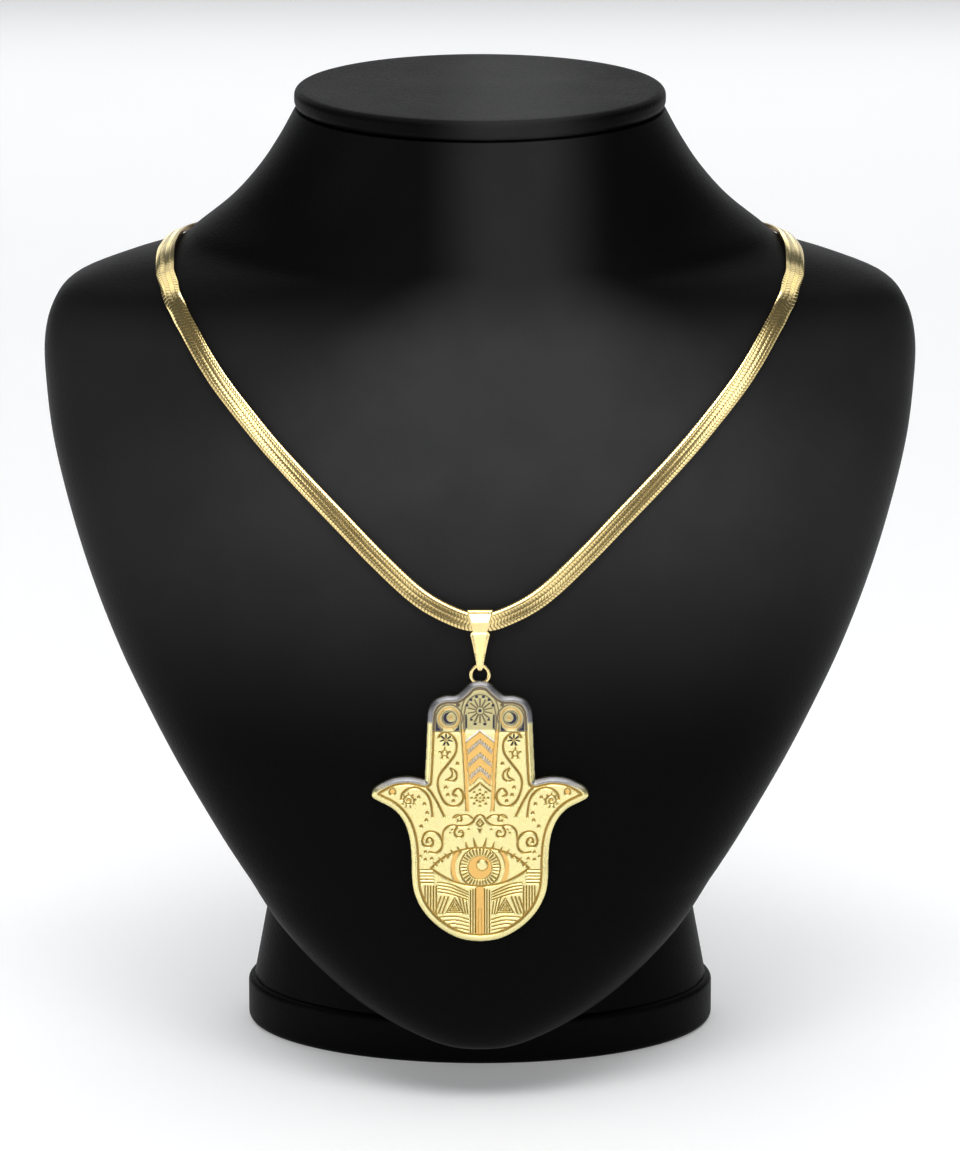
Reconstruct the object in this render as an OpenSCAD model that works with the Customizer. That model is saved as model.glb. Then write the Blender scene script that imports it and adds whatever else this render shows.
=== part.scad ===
// Hamsa pendant on a flat herringbone chain, shown on a black neck bust.
// The origin is the centre of the base's underside, +Z is up and the pendant faces -Y.

/* [Bust] */
// Width of the bust across the shoulders
bust_w = 197; // [180:1:215]
// Height of the bust from the table to the top of its cap
bust_h = 219.5; // [210:0.5:235]
// Reach of the chest in front of the neck's axis
chest_reach = 64.2; // [58:0.2:70]
// Depth of the back behind the neck's axis
back_reach = 34; // [31:0.5:40]
// Diameter of the top of the neck
neck_d = 83.2; // [78:0.2:88]
// Height of the chest's lowest point above the table
tip_z = 10.2; // [9:0.1:14]

/* [Cap] */
// Diameter of the round cap
cap_d = 83.6; // [78:0.2:90]
// Thickness of the cap
cap_t = 4.5; // [3.5:0.1:7]
// Rounding of the cap's edges
cap_round = 1.5; // [0.8:0.1:1.7]

/* [Base] */
// Width of the oval base
base_w = 107.6; // [100:0.2:118]
// Depth of the oval base
base_d = 73; // [68:1:84]
// Thickness of the base's rim
base_t = 10.5; // [8:0.1:12]
// Rounding of the rim's edges
base_round = 1.6; // [0.8:0.1:2.5]
// Height at which the stem carries the chest
stem_top = 45; // [42:0.5:52]
// Width of the stem under the chest
stem_w = 92; // [84:1:96]
// Depth of the stem under the chest
stem_d = 56; // [50:1:60]

/* [Chain] */
// Width of the flat chain
band_w = 4.2; // [3:0.1:5]
// Thickness of the flat chain
band_t = 1.1; // [0.8:0.05:1.4]
// Diameter of the clasp
clasp_d = 4.6; // [4:0.1:6]
// Length of the clasp
clasp_l = 10; // [8:0.5:14]

/* [Bail] */
// Thickness of the bail's two leaves
leaf_t = 0.55; // [0.4:0.05:0.8]
// Width of the bail at its top
bail_w = 6; // [5:0.1:8]
// Width of the bail's waist under the chain
waist_w = 2.4; // [2:0.1:3]
// Width of the drop's shoulders
drop_w = 4.4; // [3.4:0.1:5.5]
// Height of the chain's slot above the eye that holds the ring
drop_h = 7.2; // [6.4:0.1:9]

/* [Ring] */
// Diameter of the ring's wire
wire_d = 0.9; // [0.7:0.05:1]
// Radius of the ring's wire circle
ring_r = 2; // [1.95:0.05:2.4]
// Depth to which the ring's foot is soldered into the hand
solder_bed = 0.7; // [0.5:0.05:1]

/* [Hand] */
// Width of the hand across the thumbs
hand_w = 48; // [44:0.5:52]
// Height of the hand from the middle fingertip to the wrist
hand_h = 58.2; // [54:0.2:62]
// Thickness of the hand
hand_t = 3; // [2.2:0.1:3.2]
// Depth of the recesses between the raised ornament
relief = 0.4; // [0.25:0.05:0.6]
// Width of the rounded edge round the front
edge_w = 0.9; // [0.5:0.1:1.2]
// Width of the polished rim, from the outline to the groove
rim_w = 1.35; // [1.2:0.05:1.6]
// Width of the groove inside the rim
rim_groove_w = 0.55; // [0.4:0.05:0.8]
// Width of the scroll lines
line_w = 0.45; // [0.35:0.05:0.6]

/* [Clearance] */
// Gap between neighbouring pieces
fit_gap = 0.3; // [0.2:0.05:0.4]

/* [Hidden] */

black = [0.05, 0.05, 0.055];
gold = [0.86, 0.68, 0.31];

neck_r = neck_d / 2;
half_w = bust_w / 2;
slot_play = 0.25;
slot_h = band_w + 0.7;
eye_half = 0.9;
eye_r = ring_r - sqrt(ring_r * ring_r - eye_half * eye_half) + wire_d / 2 + slot_play;
bail_half_t = max(eye_r + 0.4, band_t / 2 + slot_play + leaf_t);
neck_top = bust_h - cap_t - fit_gap;
base_ratio = base_d / base_w;
stem_foot = base_w / 2 - base_round * 0.9;

// Corners around each section of the bust and of its base
body_sides = 48;
base_sides = 56;

// The chest's panel in front of the stem, from its tip upwards.
// up: share of the way from the tip to the stem's top. wide: share of half the bust's width.
// front and side: how far the front and the side line stand in front of the neck's axis, and
// tuck: how far the panel's back stands in front of the stem, as shares of the chest's reach.
PANEL_ROWS = [
    [0.000, 0.055, 0.850, 0.810, 0.200],
    [0.029, 0.100, 0.900, 0.770, 0.155],
    [0.080, 0.155, 0.940, 0.720, 0.115],
    [0.167, 0.224, 0.970, 0.680, 0.075],
    [0.282, 0.295, 0.990, 0.640, 0.045],
    [0.425, 0.362, 1.000, 0.600, 0.020],
    [0.598, 0.427, 0.998, 0.565, 0.006],
    [0.770, 0.479, 0.989, 0.540, 0.000],
    [1.000, 0.533, 0.968, 0.508, 0.000],
];
PANEL_POWER = 0.9;

// The torso, from the stem's top to the top of the neck.
// up: share of that way. wide: share of half the bust's width. spread: share of the neck's radius.
// front and side: as in the panel. back: share of the back's reach. power: 1 is an ellipse,
// and less is squarer.
TORSO_ROWS = [
    [0.002, 0.538, 0.000, 0.967, 0.503, 0.930, 0.90],
    [0.016, 0.555, 0.000, 0.961, 0.492, 0.960, 0.89],
    [0.057, 0.603, 0.000, 0.942, 0.456, 0.975, 0.88],
    [0.140, 0.692, 0.000, 0.905, 0.389, 0.980, 0.88],
    [0.205, 0.754, 0.000, 0.874, 0.343, 0.984, 0.88],
    [0.293, 0.829, 0.000, 0.833, 0.288, 0.988, 0.88],
    [0.382, 0.891, 0.000, 0.791, 0.234, 0.992, 0.88],
    [0.470, 0.940, 0.000, 0.748, 0.179, 1.000, 0.88],
    [0.559, 0.978, 0.000, 0.704, 0.132, 1.015, 0.88],
    [0.630, 0.995, 0.000, 0.671, 0.093, 1.035, 0.90],
    [0.695, 0.999, 0.000, 0.648, 0.062, 1.070, 0.92],
    [0.742, 0.978, 0.000, 0.635, 0.039, 1.100, 0.94],
    [0.774, 0.931, 0.000, 0.628, 0.023, 1.118, 0.95],
    [0.797, 0.828, 0.000, 0.625, 0.016, 1.132, 0.96],
    [0.817, 0.708, 0.000, 0.623, 0.008, 1.147, 0.97],
    [0.842, 0.424, 0.530, 0.623, 0.000, 1.165, 0.98],
    [0.878, 0.254, 0.750, 0.627, 0.000, 1.180, 1.00],
    [0.919, 0.140, 0.870, 0.634, 0.000, 1.200, 1.00],
    [0.960, 0.059, 0.950, 0.642, 0.000, 1.215, 1.00],
    [1.000, 0.000, 1.000, 0.648, 0.000, 1.224, 1.00],
];

// Half of the chain's route, from the bail to the clasp: turn in degrees about the section's
// middle from the front, and height
HALF_ROUTE = [
    [0, 108.8], [3, 110.4], [7, 114.6], [12, 122.8], [17, 131.8], [22, 140.4], [27.5, 149.4],
    [33.5, 159.6], [35.5, 163.1], [38.5, 168], [41.5, 172], [45.1, 175.5], [50.8, 178.3],
    [57.7, 180.2], [64.6, 181.5], [72.8, 182.5], [82.1, 183.3], [91.4, 183.9], [101, 183.9],
    [110.9, 183.5], [120.7, 183], [130.4, 182.1], [138.8, 181], [146.5, 179.1], [153, 176.8],
    [158.4, 173.9], [163.6, 170.8], [169, 167.9], [174, 166],
];
clasp_z = 165.5;

// Cross-section of the bust at each height, as [height, half width, front, back, side, power]
panel_span = stem_top - tip_z;
torso_span = neck_top - stem_top;
function clamp01(v) = min(1, max(0, v));
function stem_rise(z) = clamp01((z - base_t) / (stem_top - base_t));
function stem_half(z) = let (f = stem_rise(z)) stem_foot * (1 - f) + stem_w / 2 * f;
function stem_deep(z) = let (f = stem_rise(z))
    stem_foot * base_ratio * (1 - f) + stem_d / 2 * f;
PANEL = [for (r = PANEL_ROWS) let (z = tip_z + r[0] * panel_span)
    [z, r[1] * half_w, -r[2] * chest_reach, -stem_deep(z) - fit_gap - r[4] * chest_reach,
     -r[3] * chest_reach, PANEL_POWER]];
TORSO = [for (r = TORSO_ROWS) let (z = stem_top + fit_gap + r[0] * (torso_span - fit_gap))
    [z, r[1] * half_w + r[2] * neck_r, -r[3] * chest_reach, r[5] * back_reach,
     -r[4] * chest_reach, r[6]]];

// Smooth value of column c of the rows at height z
function row_at(rows, z, i = 0) =
    i >= len(rows) - 2 || rows[i + 1][0] >= z ? i : row_at(rows, z, i + 1);
function slope(rows, i, c) = let (a = max(0, i - 1), b = min(len(rows) - 1, i + 1))
    (rows[b][c] - rows[a][c]) / (rows[b][0] - rows[a][0]);
function between(rows, z, c) = let (
        i = row_at(rows, z),
        h = rows[i + 1][0] - rows[i][0],
        t = clamp01((z - rows[i][0]) / h))
    rows[i][c] * (2 * t * t * t - 3 * t * t + 1)
    + slope(rows, i, c) * h * (t * t * t - 2 * t * t + t)
    + rows[i + 1][c] * (3 * t * t - 2 * t * t * t)
    + slope(rows, i + 1, c) * h * (t * t * t - t * t);
function section(rows, z) = [for (c = [0:5]) c == 0 ? z : between(rows, z, c)];

// Point of a section at turn a
function flat_power(v, p) = sign(v) * pow(abs(v), p);
function on_section(q, a) = let (c = cos(a))
    [q[1] * flat_power(sin(a), q[5]),
     q[4] + (c > 0 ? q[2] - q[4] : q[4] - q[3]) * flat_power(c, q[5]),
     q[0]];
function skin(a, z) = on_section(section(TORSO, z), a);

// Closed solid through rings of equally many points, from the lowest ring to the highest
module loft(rings) {
    n = len(rings[0]);
    m = len(rings);
    polyhedron(
        points = [for (r = rings) each r],
        faces = [
            [for (i = [0:n - 1]) i],
            for (j = [0:m - 2], i = [0:n - 1])
                [j * n + i, (j + 1) * n + i, (j + 1) * n + (i + 1) % n, j * n + (i + 1) % n],
            [for (i = [n - 1:-1:0]) (m - 1) * n + i],
        ]);
}

// Heights of the torso's rings: each row and one between it and the next
torso_z = [for (i = [0:len(TORSO) - 2]) each [TORSO[i][0], (TORSO[i][0] + TORSO[i + 1][0]) / 2],
    neck_top];
function ring_turn(i) = -360 * i / body_sides;

module bust_body() {
    color(black)
    loft([
        for (q = PANEL) [for (i = [0:body_sides - 1]) on_section(q, ring_turn(i))],
        for (z = torso_z) [for (i = [0:body_sides - 1]) skin(ring_turn(i), z)],
    ]);
}

module bust_cap() {
    r = cap_d / 2;
    arc_steps = 5;
    color(black)
    translate([0, 0, bust_h - cap_t])
    rotate_extrude($fn = 96)
    polygon([
        [0, 0],
        for (i = [0:arc_steps]) let (a = -90 + 90 * i / arc_steps)
            [r - cap_round + cap_round * cos(a), cap_round + cap_round * sin(a)],
        for (i = [0:arc_steps]) let (a = 90 * i / arc_steps)
            [r - cap_round + cap_round * cos(a), cap_t - cap_round + cap_round * sin(a)],
        [0, cap_t],
    ]);
}

// Oval ring of half width w and half depth d at height z
function oval(w, d, z) = [for (i = [0:base_sides - 1]) let (a = -360 * i / base_sides)
    [w * cos(a), d * sin(a), z]];

module bust_base() {
    w = base_w / 2;
    d = base_d / 2;
    r = base_round;
    stem_rings = 4;
    color(black)
    loft([
        for (p = [[r, 0], [r * 0.3, r * 0.3], [0, r], [0, base_t - r], [r * 0.3, base_t - r * 0.3]])
            oval(w - p[0], d - p[0], p[1]),
        for (i = [0:stem_rings]) let (z = base_t + (stem_top - base_t) * i / stem_rings)
            oval(stem_half(z), stem_deep(z), z),
    ]);
}

// Chain: a flat band swept round the neck, its face along the bust's skin
route_steps = 2;
function curve_point(p0, p1, p2, p3, t) = 0.5 * (2 * p1 + (p2 - p0) * t
    + (2 * p0 - 5 * p1 + 4 * p2 - p3) * t * t + (3 * p1 - p0 - 3 * p2 + p3) * t * t * t);
function smooth(p, steps) = let (n = len(p)) [
    for (i = [0:n - 2], k = [0:steps - 1])
        curve_point(p[max(0, i - 1)], p[i], p[i + 1], p[min(n - 1, i + 2)], k / steps),
    p[n - 1]];
function unit(v) = v / norm(v);
function skin_normal(a, z) = unit(cross(skin(a + 1, z) - skin(a - 1, z),
    skin(a, z + 0.5) - skin(a, z - 0.5)));

// The chain stands off the skin by its gap, near the bail also by the bail's back leaf, and
// near the clasp by the clasp's radius
lift_reach = 16;
rest_off = fit_gap + band_t / 2;
bail_off = max(rest_off + leaf_t + slot_play, hand_t / 2 + fit_gap);
clasp_off = fit_gap + clasp_d / 2;
chain_end = clasp_l / 2 + fit_gap;
function stand_off(x, behind) = let (
        off = behind ? clasp_off : bail_off,
        f = clamp01(1 - (abs(x) - (behind ? chain_end : 0)) / lift_reach))
    rest_off + (off - rest_off) * f * f * (3 - 2 * f);
function on_chain(p) = let (s = skin(p[0], p[1]))
    s + skin_normal(p[0], p[1]) * stand_off(s[0], abs(p[0]) > 90);

// The whole route, whose two ends meet the clasp
end_row = section(TORSO, clasp_z);
end_turn = 180 - asin(pow(chain_end / end_row[1], 1 / end_row[5]));
far_half = concat(HALF_ROUTE, [[end_turn, clasp_z]]);
ROUTE = concat([for (i = [len(far_half) - 1:-1:1]) [-far_half[i][0], far_half[i][1]]], far_half);

module chain() {
    turns = smooth(ROUTE, route_steps);
    line = [for (p = turns) on_chain(p)];
    n = len(line);
    w = band_w / 2;
    t = band_t / 2;
    ease = 0.35;
    band = [[w, -t * ease], [w, t * ease], [w - ease, t], [ease - w, t],
        [-w, t * ease], [-w, -t * ease], [ease - w, -t], [w - ease, -t]];
    color(gold)
    loft([for (i = [0:n - 1]) let (
            along = unit(line[min(n - 1, i + 1)] - line[max(0, i - 1)]),
            out = skin_normal(turns[i][0], turns[i][1]),
            across = unit(cross(along, out)))
        [for (b = band) line[i] + across * b[0] + cross(across, along) * b[1]]]);
}

// Clasp: a plain barrel between the chain's two ends, behind the neck
module clasp() {
    r = clasp_d / 2;
    chamfer = 0.5;
    color(gold)
    translate(skin(180, clasp_z) + skin_normal(180, clasp_z) * clasp_off)
    rotate([0, 90, 0])
    translate([0, 0, -clasp_l / 2])
    rotate_extrude($fn = 48)
    polygon([
        [0, 0],
        [r - chamfer, 0],
        [r, chamfer],
        [r, clasp_l - chamfer],
        [r - chamfer, clasp_l],
        [0, clasp_l],
    ]);
}

// The pendant's frame: its origin is the swing axis in the bail's eye, x is across, y runs up
// along the hand and z points out of its front
chain_low = on_chain(HALF_ROUTE[0]);
hand_top_y = solder_bed - 2 * ring_r;
lean_top = section(TORSO, chain_low[2]);
lean_low_z = chain_low[2] - (drop_h + slot_h / 2 - hand_top_y + hand_h * 0.75);
lean_low = lean_low_z > stem_top ? section(TORSO, lean_low_z) : section(PANEL, lean_low_z);
lean = atan2(lean_top[2] - lean_low[2], chain_low[2] - lean_low_z);
slot_y = drop_h + slot_h / 2;
axis_point = chain_low - slot_y * [0, sin(lean), cos(lean)];

module in_pendant_frame() {
    translate(axis_point)
    rotate([90 - lean, 0, 0])
    children();
}

module bail() {
    top = drop_h + slot_h + leaf_t;
    eye_top = 2;
    color(gold)
    in_pendant_frame()
    difference() {
        intersection() {
            // Side outline, from the round eye up to the round top
            rotate([0, 90, 0])
            translate([0, 0, -bail_w])
            linear_extrude(2 * bail_w)
            union() {
                circle(r = bail_half_t, $fn = 48);
                translate([0, top - bail_half_t]) circle(r = bail_half_t, $fn = 48);
                translate([-bail_half_t, 0]) square([2 * bail_half_t, top - bail_half_t]);
            }
            // Front outline: the leaf over the chain, its waist, and the tapered drop
            translate([0, 0, -bail_w])
            linear_extrude(2 * bail_w)
            polygon([
                for (s = [1, -1]) each s > 0 ? bail_side(top, eye_top)
                    : [for (i = [7:-1:0]) let (p = bail_side(top, eye_top)[i]) [-p[0], p[1]]],
            ]);
        }
        // Slot for the chain
        rotate([0, 90, 0])
        translate([0, 0, -bail_w])
        linear_extrude(2 * bail_w)
        slot_outline();
        // Eye for the ring
        rotate([0, 90, 0])
        cylinder(r = eye_r, h = 2 * bail_w, center = true, $fn = 48);
    }
}

function bail_side(top, eye_top) = [
    [0.35, -bail_half_t], [0.72, -bail_half_t * 0.6], [eye_half, 0], [eye_half + 0.2, eye_top],
    [drop_w / 2, drop_h - 0.2], [waist_w / 2, drop_h + 0.3], [bail_w / 2 - 0.05, top - 1.1],
    [bail_w / 2, top]];

module slot_outline() {
    r = band_t / 2 + slot_play;
    for (y = [drop_h + r, drop_h + slot_h - r])
        translate([0, y]) circle(r = r, $fn = 32);
    translate([-r, drop_h + r]) square([2 * r, slot_h - 2 * r]);
}

// Outline of the hand, drawn on a hand 48 wide and 58.2 tall with the wrist at the origin
drawn_w = 48;
drawn_h = 58.2;
PALM = [
    [0, 0], [3.5, 0.4], [6.8, 1.7], [10.2, 4.1], [13, 7.4], [14.6, 11], [15.1, 14.5], [15.2, 18.8],
    [15.5, 22.3], [16.2, 25.2], [17.4, 27.6], [19.4, 29.7], [22.2, 31.2], [23.7, 32.1], [24, 33],
    [23.4, 34.3], [21.3, 35.6], [19, 36.5], [16, 36.8], [13.8, 36.5], [12.3, 36.1],
];
FINGERS = [
    [12.25, 36.5], [11.9, 43.4], [11.6, 50.2], [11.1, 52.4], [9.8, 54], [7.6, 54.8], [5.4, 54.9],
    [3.8, 56], [2, 57.7], [0, 58.2],
];
outline_steps = 2;
half_outline = concat(smooth(PALM, outline_steps), smooth(FINGERS, outline_steps));

module hand_outline() {
    n = len(half_outline);
    polygon(concat(half_outline, [for (i = [n - 2:-1:1]) [-half_outline[i][0], half_outline[i][1]]]));
}

// A line of width w along points
function heading(p, i) = unit(p[min(len(p) - 1, i + 1)] - p[max(0, i - 1)]);
module stroke(p, w = line_w) {
    n = len(p);
    polygon([
        for (i = [0:n - 1]) let (h = heading(p, i)) p[i] + w / 2 * [-h[1], h[0]],
        for (i = [n - 1:-1:0]) let (h = heading(p, i)) p[i] - w / 2 * [-h[1], h[0]],
    ]);
}
function coil(c, r0, r1, a0, a1, n) = [for (k = [0:n]) let (f = k / n)
    c + (r0 + (r1 - r0) * f) * [cos(a0 + (a1 - a0) * f), sin(a0 + (a1 - a0) * f)]];
module dot(c, r) {
    translate(c) circle(r = r, $fn = 4);
}
// Star between the radii s[0] and s[1] with s[2] points, and the floor between one and a circle
module star(c, s) {
    polygon([for (i = [0:2 * s[2] - 1]) let (a = 180 * i / s[2] + 90)
        c + s[1 - i % 2] * [cos(a), sin(a)]]);
}
module beaded_floor(c, r, s) {
    difference() {
        translate(c) circle(r = r, $fn = 2 * s[2]);
        star(c, s);
    }
}
module mirrored() {
    children();
    mirror([1, 0]) children();
}
module dots(points, r = dot_r) {
    for (d = points)
        dot(d, r);
}

// Recesses of the middle finger: dividers, arch, rosette, chevrons and the flower panel
fine_w = 0.35;
dot_r = 0.32;
divider_at = [2.8, 29.3];
divider_size = [0.7, 18];
arch = [[3.1, 47.3], [3.25, 51], [2.6, 53.6], [1.3, 54.8], [-0.1, 55.2]];
arch_notch = [[2.6, 49], [2.6, 47.2], [1.1, 47.5]];
rosette = [0, 51.4];
rosette_r = 2.8;
rosette_ring = [2.1, 2.5, 16];
rosette_petals = [0.8, 1.8, 12];
flower = [0, 31.6];
flower_r = 1.75;
flower_petals = [0.7, 1.5, 8];
chevrons = 4;
chevron_pitch = 2.97;
chevron_half = 2.6;
chevron_drop = 2.35;
chevron_tops = [[46.6, 0.9], [45, 0.35]];
module chevron(y, t) {
    polygon([[0, y], [chevron_half, y - chevron_drop], [chevron_half, y - chevron_drop - t], [0, y - t],
        [-chevron_half, y - chevron_drop - t], [-chevron_half, y - chevron_drop]]);
}
module middle_finger() {
    mirrored() {
        translate(divider_at) square(divider_size);
        stroke(smooth(arch, 2), fine_w);
        polygon(arch_notch);
    }
    beaded_floor(rosette, rosette_r, rosette_ring);
    difference() {
        star(rosette, rosette_petals);
        dot(rosette, dot_r);
    }
    for (i = [0:chevrons - 1], top = chevron_tops)
        chevron(top[0] - chevron_pitch * i, top[1]);
    beaded_floor(flower, flower_r, flower_petals);
}

// Recesses of one side finger: crescent moon in a ring, flower, star, scroll and dots
moon = [6.3, 50];
moon_r = [2.2, 1.65, 1.3];
moon_bite = [-0.6, 0.2];
moon_ring_r = 2.85;
finger_corners = [
    [[9.3, 49.2], [9.3, 46.9], [7.3, 46.9], [8.5, 47.7]],
    [[3.95, 49], [3.95, 46.9], [5.3, 46.9], [4.4, 47.7]],
];
finger_flower = [7, 44.9];
finger_flower_petals = [0.55, 1.1, 6];
finger_star = [7.6, 42.1];
finger_star_rays = [0.4, 0.95, 5];
finger_scroll = [[8.6, 46.2], [6.9, 46.5], [5.1, 46.2], [4.5, 44.4], [5.1, 41.3], [6.9, 39.3], [8.6, 37],
    [9.2, 34.6], [8.6, 32.2], [6.9, 30.6], [5, 30.6], [4, 32], [4.1, 33.7], [5.2, 34.3], [5.8, 33.4]];
finger_curl = [[6.5, 38.3], [5.5, 37.9], [5, 36.8], [5.4, 35.8], [6.1, 36.1], [6, 37]];
finger_dots = [[4.8, 39.9], [7.6, 34.6], [7.4, 32.9], [6, 31.9]];
module side_finger() {
    difference() {
        translate(moon) circle(r = moon_r[0], $fn = 20);
        difference() {
            translate(moon) circle(r = moon_r[1], $fn = 16);
            translate(moon + moon_bite) circle(r = moon_r[2], $fn = 16);
        }
        translate(moon + moon_bite) circle(r = moon_r[2] / 2.6, $fn = 6);
    }
    stroke(coil(moon, moon_ring_r, moon_ring_r, -60, 200, 12), fine_w);
    for (p = finger_corners)
        polygon(p);
    star(finger_flower, finger_flower_petals);
    star(finger_star, finger_star_rays);
    stroke(smooth(finger_scroll, 2));
    stroke(finger_curl);
    dots(finger_dots);
}

// Recesses of one thumb: arc, rose and dots
thumb_arc = [[10.4, 27.6], [11.1, 30.9], [12.5, 33.4], [15, 34.2], [17.2, 33.1], [17.5, 31.4]];
thumb_stem = [[10.3, 35.5], [9.7, 32], [8.9, 30.1], [8, 28.2]];
thumb_rose = [15.7, 31.4];
thumb_petals = [0.6, 1.2, 5];
thumb_bead = [19.7, 33.4];
thumb_dots = [[13.7, 32.2], [12.4, 30.9], [11.9, 29.1], [12.1, 27.3], [13.1, 25.9]];
module thumb() {
    stroke(smooth(thumb_arc, 2));
    stroke(smooth(thumb_stem, 2));
    star(thumb_rose, thumb_petals);
    dot(thumb_bead, 1.7 * dot_r);
    dots(thumb_dots);
}

// Recesses of one half of the scrollwork above the eye
spiral = [11.1, 22.7];
spiral_tail = [[8.4, 24], [7.7, 25.4], [6.3, 26], [4.6, 25.9], [3.2, 26.3]];
spiral_foot = [[8.7, 22.6], [8.7, 21.4], [9.8, 20.4], [11.2, 20.3]];
small_spiral = [4.5, 24];
leaf_spiral = [5.3, 27.8];
leaf_tail = [[4.4, 27], [3.2, 27.3], [2.2, 27.5], [1.1, 26.9]];
scroll_dots = [[12.5, 20.1], [10.7, 18.9], [12.5, 18.5]];
module scrollwork() {
    stroke(concat(coil(spiral, 0.5, 2.1, -230, 165, 12), smooth(spiral_tail, 2)));
    stroke(smooth(spiral_foot, 2));
    stroke(coil(small_spiral, 0.3, 1.15, -120, 130, 7));
    stroke(concat(coil(leaf_spiral, 0.3, 0.85, 200, -60, 6), leaf_tail));
    dots(scroll_dots);
}

// Recesses of the eye, whose lashes stand on its upper lid as [x, y, turn]
eye = [0, 16.7];
lid_w = 0.5;
iris_r = [6.9, 6];
iris_ring_r = 5.3;
iris_beads = [3.9, 4.7, 26];
pupil_r = [3.2, 1.35];
pupil_light = [0.5, 0.3];
UPPER_LID = [[-11.1, 16.7], [-8.2, 18.8], [-4.6, 20.4], [0, 21], [4.6, 20.4], [8.2, 18.8], [11.1, 16.7]];
LOWER_LID = [[-11.1, 16.7], [-8.2, 14.4], [-4.6, 12.6], [0, 12], [4.6, 12.6], [8.2, 14.4], [11.1, 16.7]];
LASHES = [[1.1, 23.3, 82], [3, 22.9, 74], [4.9, 22.1, 66], [6.5, 21.1, 60], [7.9, 20, 54], [9.2, 18.9, 48]];
lash = [[0, 0], [-2.6, 0.3], [-2.6, -0.3]];
module eye_recess() {
    upper = smooth(UPPER_LID, 3);
    lower = smooth(LOWER_LID, 3);
    stroke(upper, lid_w);
    stroke(lower, lid_w);
    intersection() {
        polygon(concat(upper, [for (i = [len(lower) - 2:-1:1]) lower[i]]));
        difference() {
            translate(eye) circle(r = iris_r[0], $fn = 40);
            translate(eye) circle(r = iris_r[1], $fn = 40);
        }
    }
    beaded_floor(eye, iris_ring_r, iris_beads);
    difference() {
        translate(eye) circle(r = pupil_r[0], $fn = 28);
        translate(eye + pupil_light) circle(r = pupil_r[1], $fn = 16);
    }
    mirrored()
    for (l = LASHES)
        translate([l[0], l[1]]) rotate(l[2]) polygon(lash);
}

// Recesses of one half of the hatched wrist
hatch = 0.8;
hatch_w = 0.4;
cuff_at = [10.7, 16];
cuff_len = 4;
post_at = [10.2, 3];
post_len = 9.4;
wave = [[9.5, 12], [6.1, 12.1], [2.7, 10.9]];
foot = [[9.4, 4.8], [2.5, 4.6]];
right_ray = [[7.6, 9.7], [9.5, 5.6]];
left_ray = [[4.3, 8.8], [3.2, 6.4]];
trefoil = [6.1, 6.9];
trefoil_leaves = [1.1, 2.6, 3];
trunk_line = [[0.85, 1], [1.5, 1]];
trunk_line_size = [0.35, 9.8];
module wrist() {
    for (i = [0:4]) {
        translate(cuff_at - [0, hatch * i]) square([cuff_len, hatch_w]);
        translate(post_at + [hatch * i, 0]) square([hatch_w, post_len]);
    }
    for (i = [0:2])
        stroke([for (p = wave) p - [0, hatch * i]], hatch_w);
    star(trefoil, trefoil_leaves);
    for (i = [0:1]) {
        stroke([for (p = right_ray) p + [hatch * 1.2 * i, 0]], hatch_w);
        stroke([for (p = left_ray) p - [hatch * i, 0]], hatch_w);
    }
    for (i = [0:2])
        stroke([foot[0] - [i, hatch * 1.1 * i], foot[1] - [0, hatch * 1.1 * i]], hatch_w);
    for (p = trunk_line)
        translate(p) square(trunk_line_size);
}

// Recesses on the centre line: a star and a drop above the lashes, and the trunk below the eye
middle_star = [0, 26.8];
middle_star_rays = [0.5, 1.2, 4];
middle_drop = [[-0.3, 25.3], [0.3, 25.3], [0, 24.4]];
trunk_at = [-0.4, 1];
trunk_size = [0.8, 10.3];
module recesses() {
    middle_finger();
    mirrored() {
        side_finger();
        thumb();
        scrollwork();
        wrist();
    }
    eye_recess();
    star(middle_star, middle_star_rays);
    polygon(middle_drop);
    translate(trunk_at) square(trunk_size);
}

module sized() {
    scale([hand_w / drawn_w, hand_h / drawn_h]) children();
}

module hand() {
    wire_r = wire_d / 2;
    bevel_steps = 3;
    front_base = hand_t - relief;
    bevel_h = 0.6;
    ease = 0.01;
    color(gold)
    in_pendant_frame() {
        translate([0, hand_top_y - hand_h, -hand_t / 2]) {
            // Full plate, its back edge eased, up to the floor of the recesses
            linear_extrude(edge_w / 3) offset(delta = -edge_w / 3) sized() hand_outline();
            translate([0, 0, edge_w / 3])
            linear_extrude(front_base - bevel_h - edge_w / 3) sized() hand_outline();
            for (i = [1:bevel_steps])
                translate([0, 0, front_base - bevel_h * (1 - (i - 1) / bevel_steps)])
                linear_extrude(bevel_h / bevel_steps)
                offset(delta = -edge_w * i * i / bevel_steps / bevel_steps / 2) sized() hand_outline();
            // Raised rim and ornament
            translate([0, 0, front_base])
            linear_extrude(relief)
            offset(delta = -ease)
            difference() {
                offset(delta = -edge_w) sized() hand_outline();
                difference() {
                    offset(delta = -rim_w) sized() hand_outline();
                    offset(delta = -rim_w - rim_groove_w) sized() hand_outline();
                }
                intersection() {
                    offset(delta = -rim_w - ease) sized() hand_outline();
                    sized() recesses();
                }
            }
        }
        translate([0, -ring_r, 0])
        rotate_extrude($fn = 64)
        translate([ring_r, 0]) circle(r = wire_r, $fn = 24);
    }
}

bust_body();
bust_cap();
bust_base();
chain();
clasp();
bail();
hand();
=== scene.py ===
import math

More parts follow.
